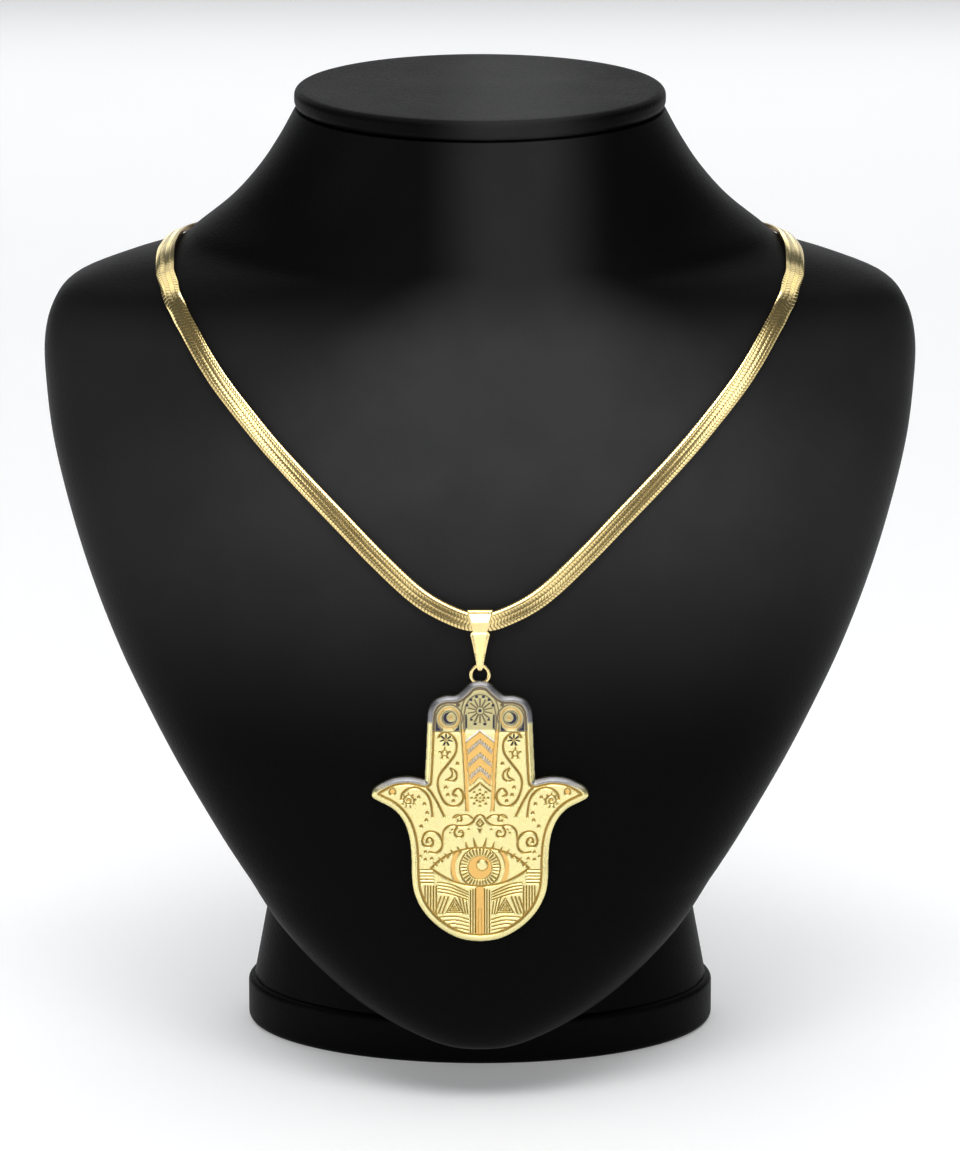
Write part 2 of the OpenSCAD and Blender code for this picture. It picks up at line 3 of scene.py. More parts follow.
import bpy
import numpy as np
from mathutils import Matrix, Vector


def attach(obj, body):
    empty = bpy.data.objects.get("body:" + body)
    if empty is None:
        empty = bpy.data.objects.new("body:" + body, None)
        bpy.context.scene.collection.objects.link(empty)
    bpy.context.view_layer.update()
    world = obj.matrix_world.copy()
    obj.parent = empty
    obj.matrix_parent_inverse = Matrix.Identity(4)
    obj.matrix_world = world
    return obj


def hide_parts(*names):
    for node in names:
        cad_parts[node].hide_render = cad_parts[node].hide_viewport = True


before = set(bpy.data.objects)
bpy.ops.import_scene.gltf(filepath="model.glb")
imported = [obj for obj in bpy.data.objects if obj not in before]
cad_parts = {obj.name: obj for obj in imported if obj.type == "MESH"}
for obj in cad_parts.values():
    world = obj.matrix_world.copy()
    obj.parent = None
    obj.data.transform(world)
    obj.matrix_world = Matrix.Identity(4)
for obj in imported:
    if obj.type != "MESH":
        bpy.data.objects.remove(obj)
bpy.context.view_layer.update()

# Lengths are in mm, but those of the painted sheen, the cards of light and the camera are in metres
MM = 0.001

# ---- Sizes of the bust, as the solids have them ----
BUST_W, BUST_H, CHEST_REACH, BACK_REACH, NECK_D, TIP_Z = 197, 219.5, 64.2, 34, 83.2, 10.2
CAP_D, CAP_T, CAP_ROUND = 83.6, 4.5, 1.7
BASE_W, BASE_D, BASE_T, BASE_ROUND = 107.6, 73, 10.5, 1.6
STEM_TOP, STEM_W, STEM_D = 45, 92, 56
BAND_W, BAND_T = 4.2, 1.1
CLASP_D, CLASP_L = 4.6, 10
LEAF_T, DROP_H, RING_R, WIRE_D = 0.55, 7.2, 2.0, 0.9
SOLDER_BED, HAND_H, HAND_T = 0.7, 58.2, 3.0
GAP, SLOT_PLAY = 0.3, 0.25
SLOT_H = BAND_W + 0.7
NECK_R, HALF_W = NECK_D / 2, BUST_W / 2
NECK_TOP = BUST_H - CAP_T - GAP
STEM_FOOT = BASE_W / 2 - BASE_ROUND * 0.9

# Rows of the chest's hanging panel: height share, width, front, side line and back, as shares
PANEL_ROWS = np.array([
    [0.000, 0.055, 0.850, 0.810, 0.200],
    [0.029, 0.100, 0.900, 0.770, 0.155],
    [0.080, 0.155, 0.940, 0.720, 0.115],
    [0.167, 0.224, 0.970, 0.680, 0.075],
    [0.282, 0.295, 0.990, 0.640, 0.045],
    [0.425, 0.362, 1.000, 0.600, 0.020],
    [0.598, 0.427, 0.998, 0.565, 0.006],
    [0.770, 0.479, 0.989, 0.540, 0.000],
    [1.000, 0.533, 0.968, 0.508, 0.000],
])
# Rows of the torso: height share, width, share of the neck, front, side line, back, roundness
TORSO_ROWS = np.array([
    [0.002, 0.538, 0.000, 0.967, 0.503, 0.930, 0.90],
    [0.016, 0.555, 0.000, 0.961, 0.492, 0.960, 0.89],
    [0.057, 0.603, 0.000, 0.942, 0.456, 0.975, 0.88],
    [0.140, 0.692, 0.000, 0.905, 0.389, 0.980, 0.88],
    [0.205, 0.754, 0.000, 0.874, 0.343, 0.984, 0.88],
    [0.293, 0.829, 0.000, 0.833, 0.288, 0.988, 0.88],
    [0.382, 0.891, 0.000, 0.791, 0.234, 0.992, 0.88],
    [0.470, 0.940, 0.000, 0.748, 0.179, 1.000, 0.88],
    [0.559, 0.978, 0.000, 0.704, 0.132, 1.015, 0.88],
    [0.630, 0.995, 0.000, 0.671, 0.093, 1.035, 0.90],
    [0.695, 0.999, 0.000, 0.648, 0.062, 1.070, 0.92],
    [0.742, 0.978, 0.000, 0.635, 0.039, 1.100, 0.94],
    [0.774, 0.931, 0.000, 0.628, 0.023, 1.118, 0.95],
    [0.797, 0.828, 0.000, 0.625, 0.016, 1.132, 0.96],
    [0.817, 0.708, 0.000, 0.623, 0.008, 1.147, 0.97],
    [0.842, 0.424, 0.530, 0.623, 0.000, 1.165, 0.98],
    [0.878, 0.254, 0.750, 0.627, 0.000, 1.180, 1.00],
    [0.919, 0.140, 0.870, 0.634, 0.000, 1.200, 1.00],
    [0.960, 0.059, 0.950, 0.642, 0.000, 1.215, 1.00],
    [1.000, 0.000, 1.000, 0.648, 0.000, 1.224, 1.00],
])
# Half of the chain's route from the bail to the clasp: turn in degrees and height
HALF_ROUTE = np.array([
    [0, 108.8], [3, 110.4], [7, 114.6], [12, 122.8], [17, 131.8], [22, 140.4], [27.5, 149.4],
    [33.5, 159.6], [35.5, 163.1], [38.5, 168], [41.5, 172], [45.1, 175.5], [50.8, 178.3],
    [57.7, 180.2], [64.6, 181.5], [72.8, 182.5], [82.1, 183.3], [91.4, 183.9], [101, 183.9],
    [110.9, 183.5], [120.7, 183], [130.4, 182.1], [138.8, 181], [146.5, 179.1], [153, 176.8],
    [158.4, 173.9], [163.6, 170.8], [169, 167.9], [174, 166],
])
CLASP_Z = 165.5


# ---- Curves and sections ----
def ease(share):
    """0 below 0, 1 above 1, and the smooth step 3s^2 - 2s^3 between."""
    s = np.clip(share, 0, 1)
    return s * s * (3 - 2 * s)


def unit(vectors):
    """Each vector over its length."""
    return vectors / np.linalg.norm(vectors, axis=-1, keepdims=True)


def through(points, steps):
    """The smooth curve through the points: on each span, the cubic whose slope at a point is
    half the way from the point before it to the point after it, at steps values of t."""
    p = np.asarray(points, float)
    n = len(p)
    i = np.repeat(np.arange(n - 1), steps)
    t = np.tile(np.arange(steps) / steps, n - 1)[:, None]
    a, b, c, d = p[np.maximum(i - 1, 0)], p[i], p[i + 1], p[np.minimum(i + 2, n - 1)]
    curve = 0.5 * (2 * b + (c - a) * t + (2 * a - 5 * b + 4 * c - d) * t ** 2
                   + (3 * b - a - 3 * c + d) * t ** 3)
    return np.concatenate([curve, p[-1:]])


def between_rows(rows, z):
    """The rows' columns at heights z: on each span, the cubic whose slope at a row is that of
    the chord between the rows beside it."""
    x, n = rows[:, 0], len(rows)
    before, after = np.maximum(np.arange(n) - 1, 0), np.minimum(np.arange(n) + 1, n - 1)
    slope = (rows[after] - rows[before]) / (x[after] - x[before])[:, None]
    i = np.clip(np.searchsorted(x, z, side="left") - 1, 0, n - 2)
    h = (x[i + 1] - x[i])[:, None]
    t = np.clip((z - x[i])[:, None] / h, 0, 1)
    out = (rows[i] * (2 * t ** 3 - 3 * t ** 2 + 1) + slope[i] * h * (t ** 3 - 2 * t ** 2 + t)
           + rows[i + 1] * (3 * t ** 2 - 2 * t ** 3) + slope[i + 1] * h * (t ** 3 - t ** 2))
    out[:, 0] = z
    return out


def stem_share(z):
    """Share of the stem's height: 0 at its foot and 1 at its top."""
    return np.clip((z - BASE_T) / (STEM_TOP - BASE_T), 0, 1)


def stem_half(z):
    """Half width of the stem: straight from its foot to its top."""
    return STEM_FOOT * (1 - stem_share(z)) + STEM_W / 2 * stem_share(z)


def stem_deep(z):
    """Half depth of the stem: straight from its foot to its top."""
    return STEM_FOOT * BASE_D / BASE_W * (1 - stem_share(z)) + STEM_D / 2 * stem_share(z)


def panel_sections():
    """Columns height, half width, front, back, side line and roundness, in mm."""
    r = PANEL_ROWS
    z = TIP_Z + r[:, 0] * (STEM_TOP - TIP_Z)
    return np.stack([z, r[:, 1] * HALF_W, -r[:, 2] * CHEST_REACH,
                     -stem_deep(z) - GAP - r[:, 4] * CHEST_REACH, -r[:, 3] * CHEST_REACH,
                     np.full(len(z), 0.9)], 1)


def torso_sections():
    """Columns height, half width, front, back, side line and roundness, in mm."""
    r = TORSO_ROWS
    z = STEM_TOP + GAP + r[:, 0] * (NECK_TOP - STEM_TOP - GAP)
    return np.stack([z, r[:, 1] * HALF_W + r[:, 2] * NECK_R, -r[:, 3] * CHEST_REACH,
                     r[:, 5] * BACK_REACH, -r[:, 4] * CHEST_REACH, r[:, 6]], 1)


PANEL, TORSO = panel_sections(), torso_sections()


def on_section(q, turn):
    """Point of a section at a turn from the front: x is the half width times sin^p, and y goes
    from the side line to the front, or to the back, by cos^p."""
    a = np.radians(turn)
    s, c = (np.sign(v) * np.abs(v) ** q[..., 5] for v in (np.sin(a), np.cos(a)))
    depth = np.where(np.cos(a) > 0, q[..., 2] - q[..., 4], q[..., 4] - q[..., 3])
    return np.stack([q[..., 1] * s, q[..., 4] + depth * c, q[..., 0] + 0 * c], -1)


def skin(turn, z):
    """The torso's surface at turns and heights."""
    return on_section(between_rows(TORSO, np.atleast_1d(z).astype(float)), np.atleast_1d(turn))


def skin_out(turn, z):
    """The torso's outward direction, from the cross product of its two tangents."""
    turn, z = np.atleast_1d(turn).astype(float), np.atleast_1d(z).astype(float)
    return unit(np.cross(skin(turn + 1, z) - skin(turn - 1, z),
                         skin(turn, z + 0.5) - skin(turn, z - 0.5)))


# ---- Meshes ----
def make_piece(name, points, faces, body, finish, marks=None, sharp=None):
    """A piece from its points in mm and lists of faces, each an array with one face a row.
    marks hold one value for each point. Edges sharper than sharp degrees stay sharp."""
    mesh = bpy.data.meshes.new(name)
    mesh.vertices.add(len(points))
    mesh.vertices.foreach_set("co", (points * MM).astype(np.float32).ravel())
    corners = np.concatenate([np.asarray(f).ravel() for f in faces]).astype(np.int32)
    sizes = np.concatenate([np.full(len(f), np.shape(f)[1]) for f in faces])
    mesh.loops.add(len(corners))
    mesh.loops.foreach_set("vertex_index", corners)
    mesh.polygons.add(len(sizes))
    mesh.polygons.foreach_set("loop_start", (np.cumsum(sizes) - sizes).astype(np.int32))
    mesh.update(calc_edges=True)
    mesh.validate()
    for mark, values in (marks or {}).items():
        attribute = mesh.attributes.new(mark, "FLOAT", "POINT")
        attribute.data.foreach_set("value", values.astype(np.float32))
    mesh.polygons.foreach_set("use_smooth", np.ones(len(sizes), bool))
    if sharp:
        mesh.set_sharp_from_angle(angle=math.radians(sharp))
    piece = bpy.data.objects.new(name, mesh)
    bpy.context.scene.collection.objects.link(piece)
    mesh.materials.append(finish.material)
    if body:
        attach(piece, body)
    return piece


def grid_faces(rows, columns, around=True):
    """Quads between neighbours of a grid of points counted row by row; around joins the last
    column to the first one."""
    spans = columns if around else columns - 1
    i, j = np.meshgrid(np.arange(rows - 1), np.arange(spans), indexing="ij")
    a, b = i * columns + j, i * columns + (j + 1) % columns
    return np.stack([a, b, b + columns, a + columns], -1).reshape(-1, 4)


def looped_faces(rows, columns):
    """Quads of a grid of points whose last row and column join the first ones."""
    i, j = np.meshgrid(np.arange(rows), np.arange(columns), indexing="ij")
    ahead, beside = (i + 1) % rows, (j + 1) % columns
    return np.stack([i * columns + j, i * columns + beside, ahead * columns + beside,
                     ahead * columns + j], -1).reshape(-1, 4)


def closed_tube(rings):
    """Points and faces of a tube through rings of equally many points, closed at both ends.
    The rings run anticlockwise as seen from the end towards which the tube goes."""
    n, m = rings.shape[:2]
    ends = [np.arange(m)[::-1][None], (np.arange(m) + (n - 1) * m)[None]]
    return rings.reshape(-1, 3), [grid_faces(n, m)] + ends


# ---- Finishes ----
class Value:
    """A number or a colour that varies over a surface. Arithmetic on it adds nodes."""

    def __init__(self, finish, socket):
        self.finish, self.socket = finish, socket

    def maths(self, operation, *inputs):
        """The result of an operation on the inputs."""
        return self.finish.add("ShaderNodeMath", dict(enumerate(inputs)), operation=operation)

    def __add__(self, other):
        return self.maths("ADD", self, other)

    def __sub__(self, other):
        return self.maths("SUBTRACT", self, other)

    def __rsub__(self, other):
        return self.maths("SUBTRACT", other, self)

    def __mul__(self, other):
        return self.maths("MULTIPLY", self, other)

    def __truediv__(self, other):
        return self.maths("DIVIDE", self, other)

    __radd__, __rmul__ = __add__, __mul__

    def step(self, low, high):
        """0 below low, 1 above high and smooth between."""
        inputs = {"Value": self, "From Min": low, "From Max": high}
        return self.finish.add("ShaderNodeMapRange", inputs, interpolation_type="SMOOTHSTEP")


class Finish:
    """One material round a Principled shader, whose constants are set by name."""

    def __init__(self, name, **constants):
        self.material = bpy.data.materials.new(name)
        self.material.use_nodes = True
        self.tree = self.material.node_tree
        self.shader = self.tree.nodes["Principled BSDF"]
        for socket, value in constants.items():
            self.shader.inputs[socket.replace("_", " ")].default_value = value

    def add(self, kind, inputs=None, out=0, **settings):
        """A node of a kind: its settings first, then the values or links of its sockets."""
        node = self.tree.nodes.new(kind)
        for setting, value in settings.items():
            setattr(node, setting, value)
        for socket, value in (inputs or {}).items():
            self.link(node.inputs[socket], value)
        return Value(self, node.outputs[out])

    def link(self, socket, value):
        """Links a Value to a socket, or sets the socket to a constant."""
        if isinstance(value, Value):
            self.tree.links.new(value.socket, socket)
        else:
            socket.default_value = value

    def mark(self, name):
        """The value that a piece's points carry under a name."""
        return self.add("ShaderNodeAttribute", out="Fac", attribute_name=name)

    def place(self):
        """The point itself, in metres."""
        return self.add("ShaderNodeTexCoord", out="Object")

    def noise(self, size, detail=2.0):
        """Soft noise from 0 to 1 whose blotches are size mm across."""
        inputs = {"Vector": self.place(), "Scale": 1 / (size * MM), "Detail": detail}
        return self.add("ShaderNodeTexNoise", inputs)

    def cells(self, size):
        """Distance from the middle of cells size mm across, in cell sizes."""
        inputs = {"Vector": self.place(), "Scale": 1 / (size * MM)}
        return self.add("ShaderNodeTexVoronoi", inputs, out="Distance")

    def mix(self, share, low, high):
        """Colour from low to high by share. The node's sockets 6 and 7 are its colours A and B,
        and its output 2 is their mix."""
        inputs = {"Factor": share, 6: low, 7: high}
        return self.add("ShaderNodeMix", inputs, out=2, data_type="RGBA")

    def relief(self, height, depth):
        """A bump of depth mm for height from 0 to 1."""
        inputs = {"Height": height, "Distance": depth * MM, "Strength": 1.0}
        self.feed(Normal=self.add("ShaderNodeBump", inputs, out="Normal"))

    def feed(self, **values):
        """Feeds the shader's sockets by name."""
        for socket, value in values.items():
            self.link(self.shader.inputs[socket.replace("_", " ")], value)


# The painted sheen on the chest, in m: the side of its middle line, the height where it narrows
# to the neck's, how fast it widens below that, and its reach to a side on the neck
SHEEN_SIDE, SHEEN_TOP, SHEEN_FLARE, SHEEN_NECK = 0.008, 0.185, 1.7, 0.02
# The heights between which it grows to full, and the one where the neck's narrower reach and its
# painted shade under the cap begin
SHEEN_LOW, SHEEN_FULL, NECK_SHADE_LOW = 0.075, 0.155, 0.165


def black_leatherette():
    """Matt black cover: fine pebbled grain about 0.5 mm across, and a pale painted sheen over the
    chest.
    The painted sheen grows smoothly with height, times 1 less a share that grows with the distance
    from its middle line over its reach. The reach widens evenly below the collar. On the neck the
    sheen is halved, as painted shade under the cap."""
    f = Finish("black_leatherette", Specular_IOR_Level=0.04)
    pebbles = f.cells(0.62) * 0.75 + f.noise(0.35, 3.0) * 0.5
    cloud = f.noise(14.0, 3.0)
    side, height = (f.add("ShaderNodeSeparateXYZ", {"Vector": f.place()}, out=axis)
                    for axis in "XZ")
    off, below = side - SHEEN_SIDE, SHEEN_TOP - height
    reach = below.maths("MAXIMUM", below, 0.0) * SHEEN_FLARE + SHEEN_NECK
    spread = off.maths("ABSOLUTE", off) / reach
    neck = height.step(NECK_SHADE_LOW, SHEEN_TOP)
    lost = (0.65 + 0.35 * neck) * spread.step(0.2, 1.1)
    # Painted sheen: pale on the chest, and halved on the neck as painted shade under the cap
    painted_sheen = height.step(SHEEN_LOW, SHEEN_FULL) * (1 - lost) * (1 - 0.5 * neck)
    # The cover's own black, and the colour of its painted sheen
    plain_black, sheen_colour = (0.0015, 0.0015, 0.0016, 1), (0.038, 0.038, 0.0386, 1)
    f.relief(pebbles, 0.07)
    f.feed(Base_Color=f.mix(painted_sheen * (0.75 + 0.5 * cloud), plain_black, sheen_colour),
           Roughness=0.35 + 0.1 * cloud + 0.1 * pebbles)
    return f


def polished_gold():
    """Warm yellow gold with faint smears."""
    f = Finish("polished_gold", Metallic=1.0)
    smear = f.noise(2.2, 3.0)
    f.feed(Base_Color=f.mix(smear, (1.0, 0.77, 0.33, 1), (1.0, 0.82, 0.42, 1)),
           Roughness=0.16 + 0.1 * smear)
    f.relief(f.noise(0.6), 0.002)
    return f


def chain_gold():
    """Bright gold of the links, with a painted shade that darkens it down between them."""
    f = Finish("chain_gold", Metallic=1.0)
    crest = f.mark("crest")
    # Painted shade: dark brown low on each link and on the band, by the crest mark, bright on top
    colour = f.mix(crest.step(0.45, 0.95), (0.4, 0.25, 0.08, 1), (0.82, 0.66, 0.31, 1))
    f.feed(Base_Color=colour, Roughness=0.21 - 0.09 * crest + 0.04 * f.noise(3.0))
    return f


def engraved_gold():
    """Satin gold front: whitish on the beading, orange-gold on the wide floors, brown-gold in the
    cut lines and blue-grey in the recesses. A blue-grey painted shade lies over the fingertips, and
    a whitish blue-grey painted reflection on the bevel that faces up and on the bevel round the
    fingertips."""
    f = Finish("engraved_gold", Metallic=1.0)
    pale, floor, line, steel = (f.mark(name) for name in ("pale", "floor", "line", "steel"))
    haze = f.noise(1.4, 3.0)
    colour = f.mix(haze, (0.93, 0.81, 0.36, 1), (0.94, 0.85, 0.43, 1))
    # The blue-grey mark holds the recesses' colour, the fingertips' painted shade and part of the
    # painted reflection on the bevel; the pale mark holds the beading and the rest of that
    # reflection
    for share, over in ((pale, (0.86, 0.84, 0.78, 1)), (floor, (0.92, 0.57, 0.18, 1)),
                        (line, (0.42, 0.26, 0.06, 1)), (steel, (0.05, 0.05, 0.085, 1))):
        colour = f.mix(share, colour, over)
    f.feed(Base_Color=colour,
           Roughness=0.24 + 0.08 * haze + 0.14 * floor + 0.1 * line + 0.2 * steel)
    f.relief(f.noise(0.25), 0.0006)
    return f


LEATHER, GOLD = black_leatherette(), polished_gold()
CHAIN_GOLD, FRONT_GOLD = chain_gold(), engraved_gold()


# ---- Bust ----
BODY_SIDES, ROUND_SIDES = 240, 192
PANEL_RINGS, TORSO_RINGS = 46, 210


def make_bust():
    """The covered form: sections up the panel and the torso, with the ends closed. The panel's
    heights go up as the power 1.6, so that its round tip has the closest rings."""
    turn = -np.arange(BODY_SIDES) * 360 / BODY_SIDES
    low = PANEL[0, 0] + (STEM_TOP - PANEL[0, 0]) * np.linspace(0, 1, PANEL_RINGS) ** 1.6
    high = np.linspace(TORSO[0, 0], NECK_TOP, TORSO_RINGS)
    rings = [on_section(between_rows(rows, z)[:, None, :], turn[None, :]) for rows, z in
             ((PANEL, low), (TORSO, high))]
    points, faces = closed_tube(np.concatenate(rings)[:, ::-1])
    piece = make_piece("bust_cover", points, faces, "stand", LEATHER, sharp=45)
    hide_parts("bust_body")


def lathe(profile):
    """Rings about Z from a profile of (radius, height): x = r cos a, y = r sin a."""
    a = np.arange(ROUND_SIDES) * 2 * np.pi / ROUND_SIDES
    r, z = profile[:, :1], profile[:, 1:]
    return np.stack([r * np.cos(a), r * np.sin(a), z + 0 * a], -1)


def make_cap():
    """The round cap: a disc with rounded edges and a faint crown inside its rim."""
    r, e = CAP_D / 2, CAP_ROUND
    a, b = np.linspace(-np.pi / 2, 0, 9), np.linspace(0, np.pi / 2, 9)
    profile = np.concatenate([
        [[r * 0.05, 0], [r * 0.6, 0]],
        np.stack([r - e + e * np.cos(a), e + e * np.sin(a)], 1),
        np.stack([r - e + e * np.cos(b), CAP_T - e + e * np.sin(b)], 1),
        np.stack([r * np.array([0.9, 0.7, 0.4, 0.05]),
                  CAP_T - np.array([0.05, 0.12, 0.08, 0.06])], 1)])
    points, faces = closed_tube(lathe(profile) + [0, 0, BUST_H - CAP_T])
    piece = make_piece("neck_cap", points, faces, "stand", LEATHER, sharp=60)
    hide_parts("bust_cap")


def make_base():
    """The oval base and stem: x = w cos t, y = d sin t, with a half width and a half depth for
    each height. The base's two edges are quarter circles."""
    w, d, e = BASE_W / 2, BASE_D / 2, BASE_ROUND
    a = np.linspace(0, np.pi / 2, 7)
    rim = np.concatenate([
        np.stack([e - e * np.sin(a), e - e * np.cos(a)], 1),
        np.stack([e - e * np.cos(a), BASE_T - e + e * np.sin(a)], 1)])
    z = np.linspace(BASE_T + 0.15, STEM_TOP, 40)
    half = np.concatenate([w - rim[:, 0], stem_half(z)])
    deep = np.concatenate([d - rim[:, 0], stem_deep(z)])
    height = np.concatenate([rim[:, 1], z])[:, None]
    t = np.arange(ROUND_SIDES) * 2 * np.pi / ROUND_SIDES
    rings = np.stack([half[:, None] * np.cos(t), deep[:, None] * np.sin(t), height + 0 * t], -1)
    points, faces = closed_tube(rings)
    piece = make_piece("oval_base", points, faces, "stand", LEATHER, sharp=60)
    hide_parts("bust_base")


# ---- Chain ----
REST_OFF = GAP + BAND_T / 2
BAIL_OFF = max(REST_OFF + LEAF_T + SLOT_PLAY, HAND_T / 2 + GAP)
CLASP_OFF = GAP + CLASP_D / 2
CHAIN_END = CLASP_L / 2 + GAP
# Stretch over which the stand-off changes
OFF_SPAN = 16
# Links: their rows across the band, pitch, slant, side gap and foot over the band's middle, and
# the share of their height left at a seam between two rows and at the band's edges
COLUMNS, LINK_PITCH, LINK_SLANT, LINK_GAP, LINK_FOOT = 4, 0.77, 0.5, 0.02, 0.1
SEAM_RISE, EDGE_RISE = 0.92, 0.6
# Section of a link: place along the chain in pitches, and height over the band's middle
ARCH = np.array([[-0.5, 0.42], [-0.4, 0.532], [0.0, 0.54], [0.4, 0.532], [0.5, 0.42]])


def on_chain(turn, z):
    """The chain's middle line: the skin plus its outward direction times the stand-off, which
    grows smoothly towards the bail in front and towards the clasp behind."""
    foot, out = skin(turn, z), skin_out(turn, z)
    behind = np.abs(turn) > 90
    off = np.where(behind, CLASP_OFF, BAIL_OFF)
    near = ease(1 - (np.abs(foot[:, 0]) - np.where(behind, CHAIN_END, 0)) / OFF_SPAN)
    return foot + out * (REST_OFF + (off - REST_OFF) * near)[:, None], out


def chain_route():
    """Points of the middle line, the outward direction there, and the run up to each point."""
    row = between_rows(TORSO, np.array([CLASP_Z]))[0]
    end = 180 - math.degrees(math.asin((CHAIN_END / row[1]) ** (1 / row[5])))
    half = np.concatenate([HALF_ROUTE, [[end, CLASP_Z]]])
    route = through(np.concatenate([half[:0:-1] * [-1, 1], half]), 16)
    line, out = on_chain(route[:, 0], route[:, 1])
    run = np.concatenate([[0], np.cumsum(np.linalg.norm(np.diff(line, axis=0), axis=1))])
    return line, out, run


def make_chain():
    """Flat herringbone: rows of slanted, arched links on a thin band. A link is a tube across
    its row, whose section is an arch over one pitch, shifted along the chain by the slant."""
    line, out, run = chain_route()

    def along_route(s, values):
        """The values at runs s, in straight lines between the route's points."""
        return np.stack([np.interp(s, run, column) for column in values.T], -1)

    def axes_at(s):
        """The middle line and the directions along, across and out of the chain at runs s."""
        along = unit(along_route(s + 0.5, line) - along_route(s - 0.5, line))
        across = unit(np.cross(along, unit(along_route(s, out))))
        return along_route(s, line), along, across, np.cross(across, along)

    count = round(run[-1] / LINK_PITCH)
    pitch = run[-1] / count
    s = (np.arange(count) + 0.5) * run[-1] / count
    width = BAND_W / COLUMNS
    rows = []
    for column in range(COLUMNS):
        low, high = -BAND_W / 2 + column * width, -BAND_W / 2 + (column + 1) * width
        stations = np.array([low + LINK_GAP, (low + high) / 2, high - LINK_GAP])
        rise = np.array([EDGE_RISE if column == 0 else SEAM_RISE, 1.0,
                         EDGE_RISE if column == COLUMNS - 1 else SEAM_RISE])
        shift = LINK_SLANT * (1 if column % 2 else -1) * np.array([-0.5, 0, 0.5])
        u = ARCH[None, :, 0] * pitch + shift[:, None]
        w = LINK_FOOT + (ARCH[None, :, 1] - LINK_FOOT) * rise[:, None]
        rows.append(np.stack([u, stations[:, None] + 0 * u, w], -1))
    local = np.stack(rows)[None]
    middle, along, across, up = (v[:, None, None, None] for v in axes_at(s))
    world = middle + local[..., :1] * along + local[..., 1:2] * across + local[..., 2:] * up
    link_points = world.reshape(-1, 3)
    link_size = local[0, 0].size // 3
    shifts = (np.arange(count * COLUMNS) * link_size)[:, None, None]
    faces = [(f[None] + shifts).reshape(-1, f.shape[1]) for f in closed_tube(local[0, 0])[1]]
    # Each link point's height share on its link; low shares get the painted shade between links
    crest = np.tile((ARCH[:, 1] - LINK_FOOT) / 0.43, len(link_points) // len(ARCH))
    # The band under the links, with a ring at every second link
    half, thick = BAND_W / 2 - 0.12, BAND_T / 2 - 0.1
    band = np.array([[-half, -thick], [-half, 0.2], [half, 0.2], [half, -thick]])
    middle, _, across, up = (v[:, None] for v in axes_at(np.concatenate([[0], s[::2], [run[-1]]])))
    rings = middle + band[None, :, :1] * across + band[None, :, 1:] * up
    band_points, band_faces = closed_tube(rings[:, ::-1])
    faces += [f + len(link_points) for f in band_faces]
    points = np.concatenate([link_points, band_points])
    # The band under the links gets 0, the darkest painted shade
    crest = np.concatenate([crest, np.zeros(len(band_points))])
    piece = make_piece("herringbone_chain", points, faces, "stand", CHAIN_GOLD,
                       marks={"crest": crest}, sharp=30)
    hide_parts("chain")


# ---- Pendant frame ----
HAND_TOP = SOLDER_BED - 2 * RING_R


def pendant_place():
    """The swing axis's point and the hand's lean: the lean is that of the chest between the
    chain's lowest point and three quarters of the way down the hand."""
    low = on_chain(np.array([0.0]), np.array([HALF_ROUTE[0, 1]]))[0][0]
    slot_y = DROP_H + SLOT_H / 2
    far = low[2] - (slot_y - HAND_TOP + HAND_H * 0.75)
    front = between_rows(TORSO, np.array([low[2], far]))[:, 2]
    lean = math.atan2(front[0] - front[1], low[2] - far)
    return low - slot_y * np.array([0, math.sin(lean), math.cos(lean)]), lean


AXIS, LEAN = pendant_place()
UP = np.array([0, math.sin(LEAN), math.cos(LEAN)])
OUT = np.array([0, -math.cos(LEAN), math.sin(LEAN)])


def on_pendant(p):
    """A point given as (across, up along the hand, out of its front), from the swing axis."""
    return AXIS + p[..., :1] * np.array([1, 0, 0]) + p[..., 1:2] * UP + p[..., 2:3] * OUT


# Rows up the bail's front: up from the swing axis, out from the leaves' middle plane, half
# width, and how far the edges turn in, as a share
BAIL_FRONT = np.array([
    [-1.12, 0.00, 0.24, 0.0], [-0.80, 0.78, 0.46, 0.0], [0.00, 1.12, 0.78, 0.0],
    [1.10, 1.13, 0.96, 0.5], [2.40, 1.13, 1.26, 1.0], [4.40, 1.13, 1.66, 1.0],
    [6.20, 1.13, 2.08, 1.0], [6.95, 1.10, 2.28, 1.0], [7.30, 1.06, 2.12, 0.6],
    [7.60, 1.04, 1.72, 0.1], [8.30, 1.08, 1.80, 0.0], [9.30, 1.14, 2.05, 0.0],
    [9.80, 1.14, 2.20, 0.1], [11.5, 0.86, 2.72, 0.25], [12.15, 0.56, 2.92, 0.3],
    [12.37, 0.00, 3.00, 0.0],
])


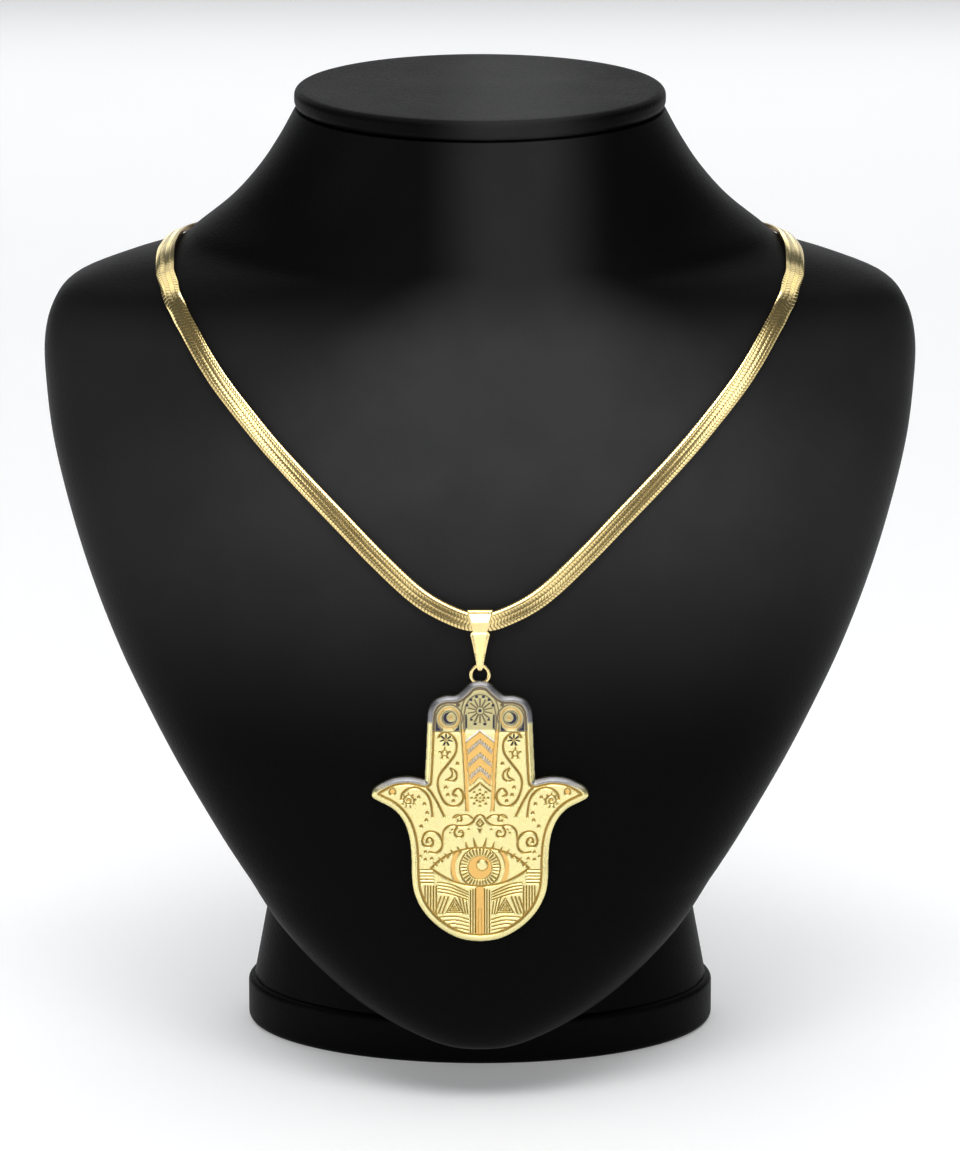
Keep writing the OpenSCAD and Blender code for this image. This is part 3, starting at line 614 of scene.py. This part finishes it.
def make_bail():
    """The folded bail: a strip of sheet round a closed path in the plane across the swing axis.
    Across the strip, q goes from -1 to 1 and the place is the half width times sin(0.98 q 90).
    Where the edges turn in, they move towards the other leaf by a smooth step of q, to the
    power 1.4, times the way to it, and a faint lip stands just inside them."""
    back = BAIL_FRONT[-2:0:-1] * [1, -1, 1, 1]
    loop = through(np.concatenate([BAIL_FRONT, back, BAIL_FRONT[:1]]), 8)[:-1]
    ahead = unit(np.roll(loop[:, :2], -1, 0) - np.roll(loop[:, :2], 1, 0))
    normal = np.stack([-ahead[:, 1], ahead[:, 0]], 1)
    q = np.linspace(-1, 1, 19)
    edge = ease((np.abs(q) - 0.72) / 0.28)
    lip = 0.1 * ease((np.abs(q) - 0.5) / 0.2) * (1 - edge)
    half = LEAF_T / 2 - 0.06
    turn_in = loop[:, 3:] * (np.abs(loop[:, 1:2]) - 0.12) * edge ** 1.4
    span = loop[:, 2:3] * np.sin(q * np.pi / 2 * 0.98)
    sheets = []
    for side in (1, -1):
        thick = side * half * (1 - 0.5 * edge[None]) + lip[None] * loop[:, 3:] - turn_in
        up = loop[:, :1] + normal[:, :1] * thick
        outward = loop[:, 1:2] + normal[:, 1:] * thick
        sheets.append(np.stack([span + 0 * thick, up, outward], -1)[:, ::side])
    rings = np.concatenate(sheets, 1)
    piece = make_piece("folded_bail", on_pendant(rings.reshape(-1, 3)),
                       [looped_faces(*rings.shape[:2])], "stand", GOLD, sharp=60)
    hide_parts("bail")


# ---- Hand ----
PALM = [
    [0, 0], [3.5, 0.4], [6.8, 1.7], [10.2, 4.1], [13, 7.4], [14.6, 11], [15.1, 14.5], [15.2, 18.8],
    [15.5, 22.3], [16.2, 25.2], [17.4, 27.6], [19.4, 29.7], [22.2, 31.2], [23.7, 32.1], [24, 33],
    [23.4, 34.3], [21.3, 35.6], [19, 36.5], [16, 36.8], [13.8, 36.5], [12.3, 36.1],
]
FINGERS = [
    [12.25, 36.5], [11.9, 43.4], [11.6, 50.2], [11.1, 52.4], [9.8, 54], [7.6, 54.8], [5.4, 54.9],
    [3.8, 56], [2, 57.7], [0, 58.2],
]
# Pitch of the front's grid, and its first and last column and row
GRID, GRID_COLUMNS, GRID_ROWS = 0.126, (-192, 192), (-1, 463)
BEVEL_W, BEVEL_H, BACK_EDGE = 1.1, 0.8, 0.3
RING_SIDES, WIRE_SIDES = 96, 24
RELIEF, LIFT_MAX = 0.3, 0.3
# Width over which an engraved edge fades, and of the ornament's main lines
SOFT, LINE = 0.16, 0.44
# Pairs of a point and a piece of path worked on at once
PAIRS = 3000000


def hand_outline():
    """The closed outline of the hand, anticlockwise from the wrist, drawn in mm."""
    half = np.concatenate([through(PALM, 6), through(FINGERS, 6)])
    return np.concatenate([half, half[-2:0:-1] * [-1, 1]])


def nearest(points, path):
    """For each point, its distance to a path of straight pieces, the foot on it and the run
    along it: on a piece from a to b the foot is a + t (b - a), with t held to 0 to 1."""
    a, ab = path[:-1], np.diff(path, axis=0)
    length = np.linalg.norm(ab, axis=1)
    run = np.concatenate([[0], np.cumsum(length)])
    best = []
    for block in np.array_split(points, max(1, len(points) * len(a) // PAIRS)):
        t = np.clip(((block[:, None] - a) * ab).sum(-1) / np.maximum(length ** 2, 1e-12), 0, 1)
        foot = a + t[..., None] * ab
        d = np.linalg.norm(block[:, None] - foot, axis=-1)
        k = d.argmin(1)
        r = np.arange(len(block))
        best.append((d[r, k], foot[r, k], run[k] + t[r, k] * length[k]))
    return [np.concatenate(part) for part in zip(*best)]


def inside(points, loop):
    """Whether each point is inside a closed outline, by counting crossings to its right."""
    a, b = loop, np.roll(loop, -1, 0)
    count = []
    for block in np.array_split(points, max(1, len(points) * len(a) // PAIRS)):
        x, y = block[:, :1], block[:, 1:]
        spans = (a[:, 1] > y) != (b[:, 1] > y)
        rise = np.where(b[:, 1] == a[:, 1], 1, b[:, 1] - a[:, 1])
        count.append((spans & (x < a[:, 0] + (y - a[:, 1]) * (b[:, 0] - a[:, 0]) / rise)).sum(1))
    return np.concatenate(count) % 2 == 1


def soft(margin, fade=SOFT):
    """Share 1 where a margin in mm is over half the fade, 0 under minus that, smooth between."""
    return ease(margin / fade + 0.5)


class Ornament:
    """The engraving at each point of the hand's front, as shares from 0 to 1: cut lines, wide
    floors, blue-grey recesses and pale beading, and lift, the height in mm of raised work. The
    blue-grey share also holds the fingertips' painted shade, and the blue-grey and pale shares the
    painted reflection on the bevel that faces up. mirror draws a figure on the other half too."""

    def __init__(self, at):
        self.at = at
        self.line, self.floor, self.steel, self.pale, self.lift = np.zeros((5, len(at)))

    def raise_to(self, layer, pick, share):
        """Brings the picked points of a layer up to a share."""
        values = getattr(self, layer)
        values[pick] = np.maximum(values[pick], share)

    def around(self, low, high):
        """The points between two corners."""
        return np.flatnonzero(((self.at > low) & (self.at < high)).all(1))

    def stroke(self, path, width, layer="line", mirror=True):
        """A line of a width along a path: full where the distance is under half of it."""
        path = np.asarray(path, float)
        pick = self.around(path.min(0) - width, path.max(0) + width)
        if len(pick):
            d = nearest(self.at[pick], path)[0]
            self.raise_to(layer, pick, soft(width / 2 - d))
        if mirror:
            self.stroke(path * [-1, 1], width, layer, False)

    def disc(self, centre, r, layer="line", mirror=True, inner=0.0):
        """A disc, or a ring from inner to r."""
        centre = np.asarray(centre, float)
        pick = self.around(centre - r - 0.3, centre + r + 0.3)
        d = np.linalg.norm(self.at[pick] - centre, axis=1)
        share = soft(r - d)
        if inner:
            share = np.minimum(share, soft(d - inner))
        self.raise_to(layer, pick, share)
        if mirror:
            self.disc(centre * [-1, 1], r, layer, False, inner)

    def dots(self, places, r):
        """A disc at each place."""
        for place in places:
            self.disc(place, r)

    def patch(self, corners, layer="floor", mirror=True):
        """A filled outline."""
        loop = np.asarray(corners, float)
        pick = self.around(loop.min(0) - 0.3, loop.max(0) + 0.3)
        d = nearest(self.at[pick], np.concatenate([loop, loop[:1]]))[0]
        d = np.where(inside(self.at[pick], loop), d, -d)
        self.raise_to(layer, pick, soft(d))
        if mirror:
            self.patch(loop * [-1, 1], layer, False)

    def clear(self, centre, r, layers):
        """Takes the cut away inside a circle."""
        d = np.linalg.norm(self.at - centre, axis=1)
        keep = soft(d - r)
        for name in layers:
            getattr(self, name)[:] *= keep

    def petals(self, centre, r0, r1, n, width, layer="line", mirror=True):
        """n short strokes outwards from a centre, from r0 to r1."""
        for k in range(n):
            a = math.radians(90) + 2 * math.pi * k / n
            ray = np.array([math.cos(a), math.sin(a)])
            self.stroke([centre + r0 * ray, centre + r1 * ray], width, layer, mirror)


def coil(c, r0, r1, a0, a1, n=40):
    """A spiral about c whose radius goes from r0 to r1 as its angle goes from a0 to a1."""
    f = np.linspace(0, 1, n)
    a = np.radians(a0 + (a1 - a0) * f)
    r = r0 + (r1 - r0) * f
    return np.stack([c[0] + r * np.cos(a), c[1] + r * np.sin(a)], 1)


# Chevrons: height of the top row in the middle, fall per mm of width, pitch of the rows, half
# width of a rope and pitch of its beads
CHEVRON_TOP, CHEVRON_FALL, CHEVRON_PITCH, ROPE_HALF, BEAD_PITCH = 44.84, 0.904, 3.04, 0.56, 0.5
# Lashes over the eye: tip across and up, lean in degrees and length
LASHES = ((1.5, 23.5, 76, 2.4), (3.2, 22.5, 76, 1.9), (5.1, 21.5, 62, 1.6), (6.6, 20.8, 54, 1.5),
          (7.95, 19.9, 50, 1.4), (9.3, 19.0, 46, 1.4), (10.5, 18.0, 44, 1.3))


def draw_chevrons(o):
    """Roped chevrons on a floor. s is the way down from the top row in pitches, and off the
    distance from the nearest row in mm. Beads are half of 1 plus a cosine along the row, half a
    pitch apart above and below the row's middle."""
    x, y = np.abs(o.at[:, 0]), o.at[:, 1]
    half = np.interp(y, [34, 47], [2.35, 3.3])
    s = (CHEVRON_TOP - y - CHEVRON_FALL * x) / CHEVRON_PITCH
    off = (s - np.round(s)) * CHEVRON_PITCH
    rows = (x < half) & (s > -0.72) & (s < 2.62)
    roped = rows & (s > -0.4) & (s < 2.4) & (x < half - 0.18)
    rope = roped * soft(ROPE_HALF - np.abs(off), 0.08)
    seam = roped * soft(0.07 - np.abs(np.abs(off) - ROPE_HALF), 0.06)
    beads = 0.5 + 0.5 * np.cos(2 * np.pi * x / BEAD_PITCH + np.pi * (off > 0))
    middle = roped * soft(0.05 - np.abs(off), 0.05)
    cut = rope * np.maximum(0.55 * (1 - beads), 0.7 * middle)
    o.floor = np.maximum(o.floor, rows * (1 - rope))
    o.pale = np.maximum(o.pale, rope)
    o.line = np.maximum(o.line, np.maximum(0.7 * seam, cut))
    o.lift += rope * 0.14 * beads


def draw_middle_finger(o):
    """Dividers that part upwards, the double arch, the rosette, the chevrons and the flower."""
    post = np.array([[2.7, 29.4], [3.05, 36.0], [3.36, 42.0], [3.72, 47.2]])
    o.stroke(post, 0.62, "floor")
    o.stroke(post + [0.4, 0], 0.17)
    o.stroke(through([[4.15, 47.0], [4.22, 50.8], [3.5, 53.9], [1.9, 55.8], [0, 56.35]], 6), 0.2)
    o.stroke(through([[3.5, 46.9], [3.55, 50.4], [2.9, 53.2], [1.5, 54.8], [0, 55.2]], 6), 0.22)
    rosette = np.array([0, 51.6])
    for angle in (14, 40, 68, 160):
        a = math.radians(angle)
        o.disc(rosette + 3.15 * np.array([math.sin(a), math.cos(a)]), 0.36, "steel")
    o.patch([[3.3, 50.7], [2.9, 50.9], [2.8, 47.9], [3.3, 47.3]], "steel")
    o.disc([1.9, 49.6], 0.3, "steel")
    o.petals(rosette, 0.95, 2.65, 14, 0.27, mirror=False)
    o.disc(rosette, 0.92, "line", False, 0.76)
    o.disc(rosette, 0.4, "steel", False)
    draw_chevrons(o)
    o.stroke([[0, 47.25], [3.1, 44.9]], 0.4, "pale")
    o.stroke([[0, 46.85], [3.1, 44.5]], 0.16)
    o.stroke([[0, 35.55], [2.45, 33.6]], 0.3)
    flower = np.array([0, 32.2])
    for k in range(8):
        a = math.radians(45 * k)
        ray = np.array([math.cos(a), math.sin(a)])
        o.disc(flower + 0.9 * ray, 0.27, "line", False)
        o.disc(flower + 1.8 * ray, 0.25, "line", False)
    o.disc(flower, 0.2, "line", False)


def draw_side_fingers(o):
    """The moon in its ring, flower, star, long scroll, crescent and dots."""
    moon = np.array([6.8, 49.95])
    o.disc(moon, 2.45, "floor", inner=2.05)
    o.disc(moon, 1.66, "line", inner=1.48)
    o.disc(moon, 1.36, "steel")
    for sign in (1, -1):
        o.clear(moon * [sign, 1] + [-0.42 * sign, 0.15], 1.02, ("steel",))
    o.disc(moon + [-0.4, 0.15], 0.5, "floor", inner=0.2)
    o.stroke(coil(moon, 2.95, 2.95, -60, 200), 0.24)
    o.stroke([[4.5, 46.85], [9.9, 46.85]], 0.18)
    o.patch([[9.85, 49.6], [9.85, 47.0], [8.1, 47.0], [9.2, 47.9]], "steel")
    o.patch([[4.55, 49.4], [4.55, 47.0], [5.9, 47.0], [4.95, 47.9]], "steel")
    o.disc([4.9, 52.9], 0.42, "line")
    flower = np.array([7.5, 45.1])
    o.petals(flower, 0.55, 1.25, 7, 0.34, "steel")
    o.petals(flower, 0.45, 1.3, 7, 0.2)
    o.disc(flower, 0.2, "line")
    star = np.array([7.8, 42.1])
    o.petals(star, 0.75, 1.25, 5, 0.34)
    o.disc(star, 0.75, "line", inner=0.5)
    o.stroke(through([[9.2, 45.7], [8.7, 46.4], [7.5, 46.75], [6.0, 45.9], [5.2, 44.5],
                      [5.35, 42.4], [6.7, 40.3], [8.4, 38.2], [9.2, 36.6], [9.3, 35.0],
                      [8.85, 33.2], [7.8, 31.3], [6.3, 30.35], [4.75, 30.6], [3.8, 31.8],
                      [3.8, 33.4], [4.7, 34.2], [5.6, 33.9], [5.95, 33.1], [5.2, 32.6]], 6), LINE)
    o.stroke(through([[6.5, 38.8], [5.3, 38.0], [5.2, 36.7], [6.2, 35.9], [7.5, 36.2]], 6), 0.36)
    o.stroke(through([[6.5, 38.8], [6.1, 37.8], [6.4, 36.9], [7.5, 36.2]], 6), 0.3)
    o.dots([[5.0, 39.9], [7.55, 34.6], [7.1, 32.9], [5.9, 31.6]], 0.36)


def draw_thumbs(o):
    """Arcs, rose, bead and dots."""
    o.stroke(through([[10.5, 28.0], [10.75, 30.4], [11.3, 32.4], [12.5, 33.8], [14.1, 34.4],
                      [15.9, 34.2], [17.2, 33.2], [17.5, 31.9]], 6), LINE)
    o.stroke(through([[12.9, 35.2], [11.1, 33.9], [10.1, 32.4], [9.1, 30.6], [7.9, 28.1]], 6), LINE)
    rose = np.array([15.9, 31.6])
    o.stroke(coil(rose, 0.3, 1.35, 30, 560), 0.28)
    o.petals(rose, 1.25, 1.65, 9, 0.28)
    o.disc(rose, 0.34, "floor")
    o.disc([19.4, 33.6], 0.8, "line", inner=0.5)
    o.disc([19.4, 33.6], 0.5, "floor")
    o.dots([[13.6, 32.4], [12.3, 30.9], [11.7, 28.9], [11.9, 27.3], [13.0, 25.9]], 0.35)


def draw_scrollwork(o):
    """Scrolls, a lozenge and dots above the eye."""
    o.stroke(coil([11.35, 22.5], 0.3, 1.5, -420, 30, 50), LINE)
    o.stroke(through([[12.7, 23.2], [12.2, 24.3], [10.9, 24.7], [9.2, 24.1], [8.35, 22.5],
                      [8.6, 20.9], [9.8, 19.9], [11.2, 20.1]], 6), LINE)
    o.stroke(through([[8.3, 22.7], [8.1, 24.7], [7.3, 25.7], [6.0, 26.1], [4.5, 25.9],
                      [2.8, 26.1], [1.5, 27.0], [0.9, 28.0], [0, 28.4]], 6), 0.38)
    o.stroke(coil([4.4, 24.4], 0.25, 1.4, -330, 60), 0.36)
    o.stroke(coil([4.75, 27.4], 0.2, 1.2, 330, 20), 0.36)
    o.stroke(through([[5.8, 27.7], [4.2, 28.3], [2.6, 28.3], [1.5, 27.6]], 6), 0.3)
    o.dots([[6.1, 25.1], [6.6, 24.4], [5.7, 24.6], [2.5, 25.2]], 0.2)
    lozenge = np.array([[0, 27.5], [0.75, 26.6], [0, 25.7], [-0.75, 26.6], [0, 27.5]])
    o.stroke(lozenge, 0.26, "line", False)
    o.disc([0, 26.6], 0.18, "line", False)
    o.patch([[0.5, 25.5], [0, 24.3], [-0.5, 25.5], [0, 25.2]], "line", False)
    o.dots([[12.1, 20.2], [12.1, 18.5], [10.7, 18.7], [13.2, 19.2]], 0.3)


def draw_eye(o):
    """Lids, rings and rays round the pupil, its domed highlight and the lashes."""
    eye = np.array([0, 16.6])
    lid = [[-10.9, 16.5], [-8.2, 18.8], [-4.6, 20.4], [0, 21.0], [4.6, 20.4], [8.2, 18.8],
           [10.9, 16.5]]
    upper = through(lid, 8)
    lower = through([[a, 33.0 - b + (0.5 if abs(a) < 9 else 0)] for a, b in lid], 8)
    within = inside(o.at, np.concatenate([upper, lower[-2:0:-1]]))
    d = np.linalg.norm(o.at - eye, axis=1)
    o.floor = np.maximum(o.floor, within * soft(0.48 - np.abs(d - 6.0)))
    o.line = np.maximum(o.line, within * soft(0.11 - np.abs(d - 4.5)))
    o.stroke(upper, 0.46, "line", False)
    o.stroke(lower, 0.46, "line", False)
    o.petals(eye, 3.0, 4.2, 32, 0.27, mirror=False)
    o.disc(eye, 2.6, "floor", False)
    o.disc(eye, 2.72, "line", False, 2.56)
    pearl = np.array([0.5, 17.2])
    d = np.linalg.norm(o.at - pearl, axis=1)
    o.clear(pearl, 1.2, ("floor", "line"))
    o.line = np.maximum(o.line, soft(0.1 - np.abs(d - 1.3)) * 0.6)
    o.lift += 0.35 * np.sqrt(np.clip(1 - (d / 1.25) ** 2, 0, 1))
    for across, up, lean, long in LASHES:
        a = math.radians(lean)
        tip = np.array([across, up])
        root = tip - long * np.array([math.cos(a), math.sin(a)])
        wide = 0.36 * np.array([-math.sin(a), math.cos(a)])
        o.patch([tip, root + wide, root - wide], "line")


def draw_wrist(o):
    """Hatched fields either side of the trunk below the eye."""
    cut = 0.3
    for i in range(5):
        o.stroke([[10.3, 16.1 - 0.72 * i], [14.2, 16.1 - 0.72 * i]], cut * 0.9)
        o.stroke([[9.7 + 0.62 * i, 12.6], [9.7 + 0.62 * i, 2.5]], cut * 0.8)
    for i in range(4):
        o.stroke(through([[9.3, 13.3 - 0.72 * i], [6.4, 12.8 - 0.72 * i],
                          [2.7, 11.2 - 0.6 * i]], 4), cut)
    for i in range(3):
        o.stroke([[7.0 + 0.85 * i, 10.1], [8.4 + 0.8 * i, 6.4]], cut)
        o.stroke([[4.6 - 0.8 * i, 10.0 - 0.5 * i], [3.7 - 0.5 * i, 6.3]], cut * 0.8)
        r = 2.25 - 0.9 * i
        o.stroke([np.array([5.6, 7.6]) + r * np.array([math.cos(t), math.sin(t)])
                  for t in np.radians([90, 210, 330, 450])], 0.22)
    for i in range(5):
        o.stroke(through([[9.8 - 0.9 * i, 5.4 - 0.8 * i], [5.5, 5.7 - 0.85 * i],
                          [2.6, 5.0 - 0.8 * i]], 4), cut)
    o.stroke([[0, 11.7], [0, 1.6]], 1.7, "floor", False)
    for off in (1.02, 1.55, 2.1):
        o.stroke([[off, 12.3 - 0.35 * off], [off, 1.8]], 0.24)
    o.stroke([[0.35, 7.5], [0.35, 1.6]], 0.14)


def engrave(o, depth):
    """All of the hand's ornament. depth is each point's distance from the outline. Inside the
    polished rim runs a groove, and nothing is cut outside it. The fingertips get a blue-grey
    painted shade, with their cut lines a little paler."""
    for draw in (draw_middle_finger, draw_side_fingers, draw_thumbs, draw_scrollwork, draw_eye,
                 draw_wrist):
        draw(o)
    field = ease((depth - 1.3) / 0.15)
    for layer in (o.line, o.floor, o.steel, o.pale):
        layer *= field
    o.line = np.maximum(o.line, soft(0.24 - np.abs(depth - 1.5)))
    # Painted shade over the fingertips: blue-grey, more in the cut lines, less on the floors, and
    # the cut lines' own brown lightened there
    tips = ease((o.at[:, 1] - 46.4) / 1.2)
    o.line *= 1 - 0.2 * tips
    shade = tips * (0.38 + 0.45 * o.line - 0.2 * o.floor) * ease((depth - 0.9) / 0.4)
    o.steel = np.maximum(o.steel, shade)


def front_grid(outline):
    """The grid's points inside the outline, their depth from it, the cells between them, the
    edges that only one cell has, the points on those edges, which are moved to the nearest
    place on the outline, and the run along it to each."""
    xs, ys = (np.arange(low, high + 1) * GRID for low, high in (GRID_COLUMNS, GRID_ROWS))
    at = np.stack(np.meshgrid(xs, ys, indexing="xy"), -1).reshape(-1, 2)
    closed = np.concatenate([outline, outline[:1]])
    depth = nearest(at, closed)[0]
    depth = np.where(inside(at, outline), depth, -depth)
    cells = grid_faces(len(ys), len(xs), around=False)
    cells = cells[depth[cells].mean(1) > 0]
    edges = np.concatenate([cells[:, [k, (k + 1) % 4]] for k in range(4)])
    key = np.sort(edges, 1) @ [len(at), 1]
    _, first, times = np.unique(key, return_index=True, return_counts=True)
    rim_edges = edges[first[times == 1]]
    rim = np.unique(rim_edges)
    _, at[rim], run = nearest(at[rim], closed)
    depth[rim] = 0
    used = np.unique(cells)
    number = np.full(len(at), -1)
    number[used] = np.arange(len(used))
    return at[used], np.maximum(depth[used], 0), number[cells], number[rim_edges], number[rim], run


def make_hand():
    """The hand's plate. Its front is a grid whose height is the side, plus the bevel by a smooth
    step of the depth, less the relief times the cut, plus the lift. Below the rim the wall goes
    straight down and in over the eased back edge."""
    outline = hand_outline()
    at, depth, cells, rim_edges, rim, run = front_grid(outline)
    o = Ornament(at)
    engrave(o, depth)
    cut = np.maximum.reduce([o.line, o.floor * 0.85, o.steel])
    bevel = BEVEL_H * ease(0.5 + 0.5 * np.clip(depth / BEVEL_W, 0, 1)) * 2 - BEVEL_H
    height = HAND_T - BEVEL_H + bevel - RELIEF * cut + np.minimum(o.lift, LIFT_MAX)
    inward = unit(np.roll(outline, 1, 0) - np.roll(outline, -1, 0)) @ np.array([[0, -1], [1, 0]])
    beside = np.linalg.norm(at[rim][:, None] - outline[None], axis=-1).argmin(1)
    n, m = len(at), len(rim)
    points = np.concatenate([
        np.column_stack([at, height]),
        np.column_stack([at[rim], np.full(m, BACK_EDGE)]),
        np.column_stack([at[rim] + BACK_EDGE * inward[beside], np.zeros(m)])])
    rank = np.full(n, -1)
    rank[rim] = np.arange(m)
    a, b = rim_edges.T
    first_ring = np.stack([b, a, n + rank[a], n + rank[b]], 1)
    second_ring = np.stack([n + rank[b], n + rank[a], n + m + rank[a], n + m + rank[b]], 1)
    back = (n + m + np.argsort(-run))[None]
    # Painted reflection: the bevel that faces up is whitish and blue-grey, on the fingers all round
    foot = nearest(at, np.concatenate([outline, outline[:1]]))[1]
    slope = unit(foot - at + 1e-9)
    painted_reflection = ease((slope[:, 1] - 0.25) / 0.5) * ease((at[:, 1] - 33) / 3)
    painted_reflection = np.maximum(painted_reflection, ease(at[:, 1] - 48.4)) * ease((1.25 - depth) / 0.15)
    o.steel, o.pale = np.maximum(o.steel, 0.72 * painted_reflection), np.maximum(o.pale, painted_reflection)
    marks = {name: np.concatenate([getattr(o, name), np.zeros(2 * m)])
             for name in ("line", "floor", "steel", "pale")}
    points = points + [0, HAND_TOP - HAND_H, -HAND_T / 2]
    plate = make_piece("hamsa_plate", on_pendant(points), [cells, first_ring, second_ring, back],
                       "pendant", FRONT_GOLD, marks=marks, sharp=75)
    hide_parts("hand")


def make_ring():
    """A circle of wire in the hand's plane, whose foot is soldered into the hand's top:
    x = r cos u, y = r sin u - R, z = w sin v, with r = R + w cos v and w half the wire."""
    u, v = (np.arange(sides) * 2 * np.pi / sides for sides in (RING_SIDES, WIRE_SIDES))
    u, half = u[:, None], WIRE_D / 2
    r = RING_R + half * np.cos(v)[None]
    wire = np.stack([r * np.cos(u), -RING_R + r * np.sin(u), half * np.sin(v)[None] + 0 * u], -1)
    faces = looped_faces(RING_SIDES, WIRE_SIDES)[:, [0, 3, 2, 1]]
    ring = make_piece("hand_ring", on_pendant(wire.reshape(-1, 3)), [faces], "pendant",
                      GOLD)
    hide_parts("hand")


# ---- Floor, light and camera ----
WORLD_LIGHT = 0.13
# Half of the floor's side in mm, and the middle of the hand in m
FLOOR_HALF = 6000.0
HAND_AIM = (0, -0.055, 0.13)
# Cards of light: name, place, what it faces, width and height in m, radiance, spread in degrees
CARDS = (
    ("front_card", (0.05, -2.64, 0.36), HAND_AIM, (0.74, 0.95), 1.22, 180),
    ("left_card", (-0.77, -1.67, 0.32), HAND_AIM, (0.25, 0.9), 3.2, 180),
    ("right_card", (0.88, -1.6, 0.32), HAND_AIM, (0.34, 0.9), 2.4, 180),
    ("far_left", (-1.9, -0.7, 0.3), HAND_AIM, (0.9, 0.9), 2.0, 180),
    ("far_right", (1.9, -0.7, 0.3), HAND_AIM, (0.7, 0.7), 0.5, 180),
    ("key_card", (0, -1.95, 1.02), HAND_AIM, (0.7, 0.34), 2.2, 180),
    ("top_card", (0, 0.85, 2.35), HAND_AIM, (4.0, 2.8), 0.8, 180),
    ("middle_card", (0, 0.1, 2.4), HAND_AIM, (4.2, 3.0), 0.4, 180),
    ("chest_card", (0.03, -0.6, 0.36), (0.01, -0.045, 0.16), (0.34, 0.14), 0.17, 30),
    ("floor_card", (0, -0.9, 2.0), (0, -0.3, 0), (1.6, 1.0), 0.7, 60),
    ("back_card", (0, 1.3, 0.42), (0, 0, 0.2), (1.6, 0.6), 0.8, 180),
)


def make_stage():
    """A pale floor, soft studio light and the camera at the photograph's angle."""
    scene = bpy.context.scene
    paper = Finish("pale_paper", Roughness=0.9, Specular_IOR_Level=0.1, Emission_Strength=0.21)
    shade = paper.mix(paper.noise(60.0), (0.9, 0.9, 0.905, 1), (0.92, 0.92, 0.925, 1))
    paper.feed(Base_Color=shade, Emission_Color=shade)
    corners = FLOOR_HALF * np.array([[-1, -1, 0], [1, -1, 0], [1, 1, 0], [-1, 1, 0]])
    floor = make_piece("floor", corners, [np.array([[0, 1, 2, 3]])], None, paper)
    world = bpy.data.worlds.new("studio")
    world.use_nodes = True
    sky = world.node_tree.nodes["Background"].inputs
    sky["Color"].default_value, sky["Strength"].default_value = (0.9, 0.95, 1.0, 1), WORLD_LIGHT
    scene.world = world
    for card in CARDS:
        hang_card(*card)
    camera = bpy.data.objects.new("camera", bpy.data.cameras.new("camera"))
    scene.collection.objects.link(camera)
    camera.data.sensor_width, camera.data.lens = 36, 207.6
    camera.data.clip_start, camera.data.clip_end = 0.01, 40
    point_at(camera, (0, -1.4696, 0.4968), (0, -0.02, 0.1111))
    scene.camera = camera
    scene.view_settings.view_transform = "Standard"


def hang_card(name, place, aim, size, glow, spread):
    """A white card of light, size m wide and tall, which glows by the given radiance in a cone
    spread degrees wide."""
    lamp = bpy.data.lights.new(name, "AREA")
    lamp.shape, lamp.size, lamp.size_y = "RECTANGLE", size[0], size[1]
    lamp.energy = glow * math.pi * size[0] * size[1]
    lamp.spread = math.radians(spread)
    holder = bpy.data.objects.new(name, lamp)
    bpy.context.scene.collection.objects.link(holder)
    point_at(holder, place, aim)
    holder.visible_camera = False


def point_at(holder, place, aim):
    """Stands a lamp or camera at a place, turned to look at aim with its top up."""
    holder.location = place
    holder.rotation_euler = (Vector(aim) - Vector(place)).to_track_quat("-Z", "Y").to_euler()


make_stage()
make_bust()
make_cap()
make_base()
make_chain()
make_bail()
make_hand()
make_ring()
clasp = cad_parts["clasp"]
clasp.data.materials.clear()
clasp.data.materials.append(GOLD.material)
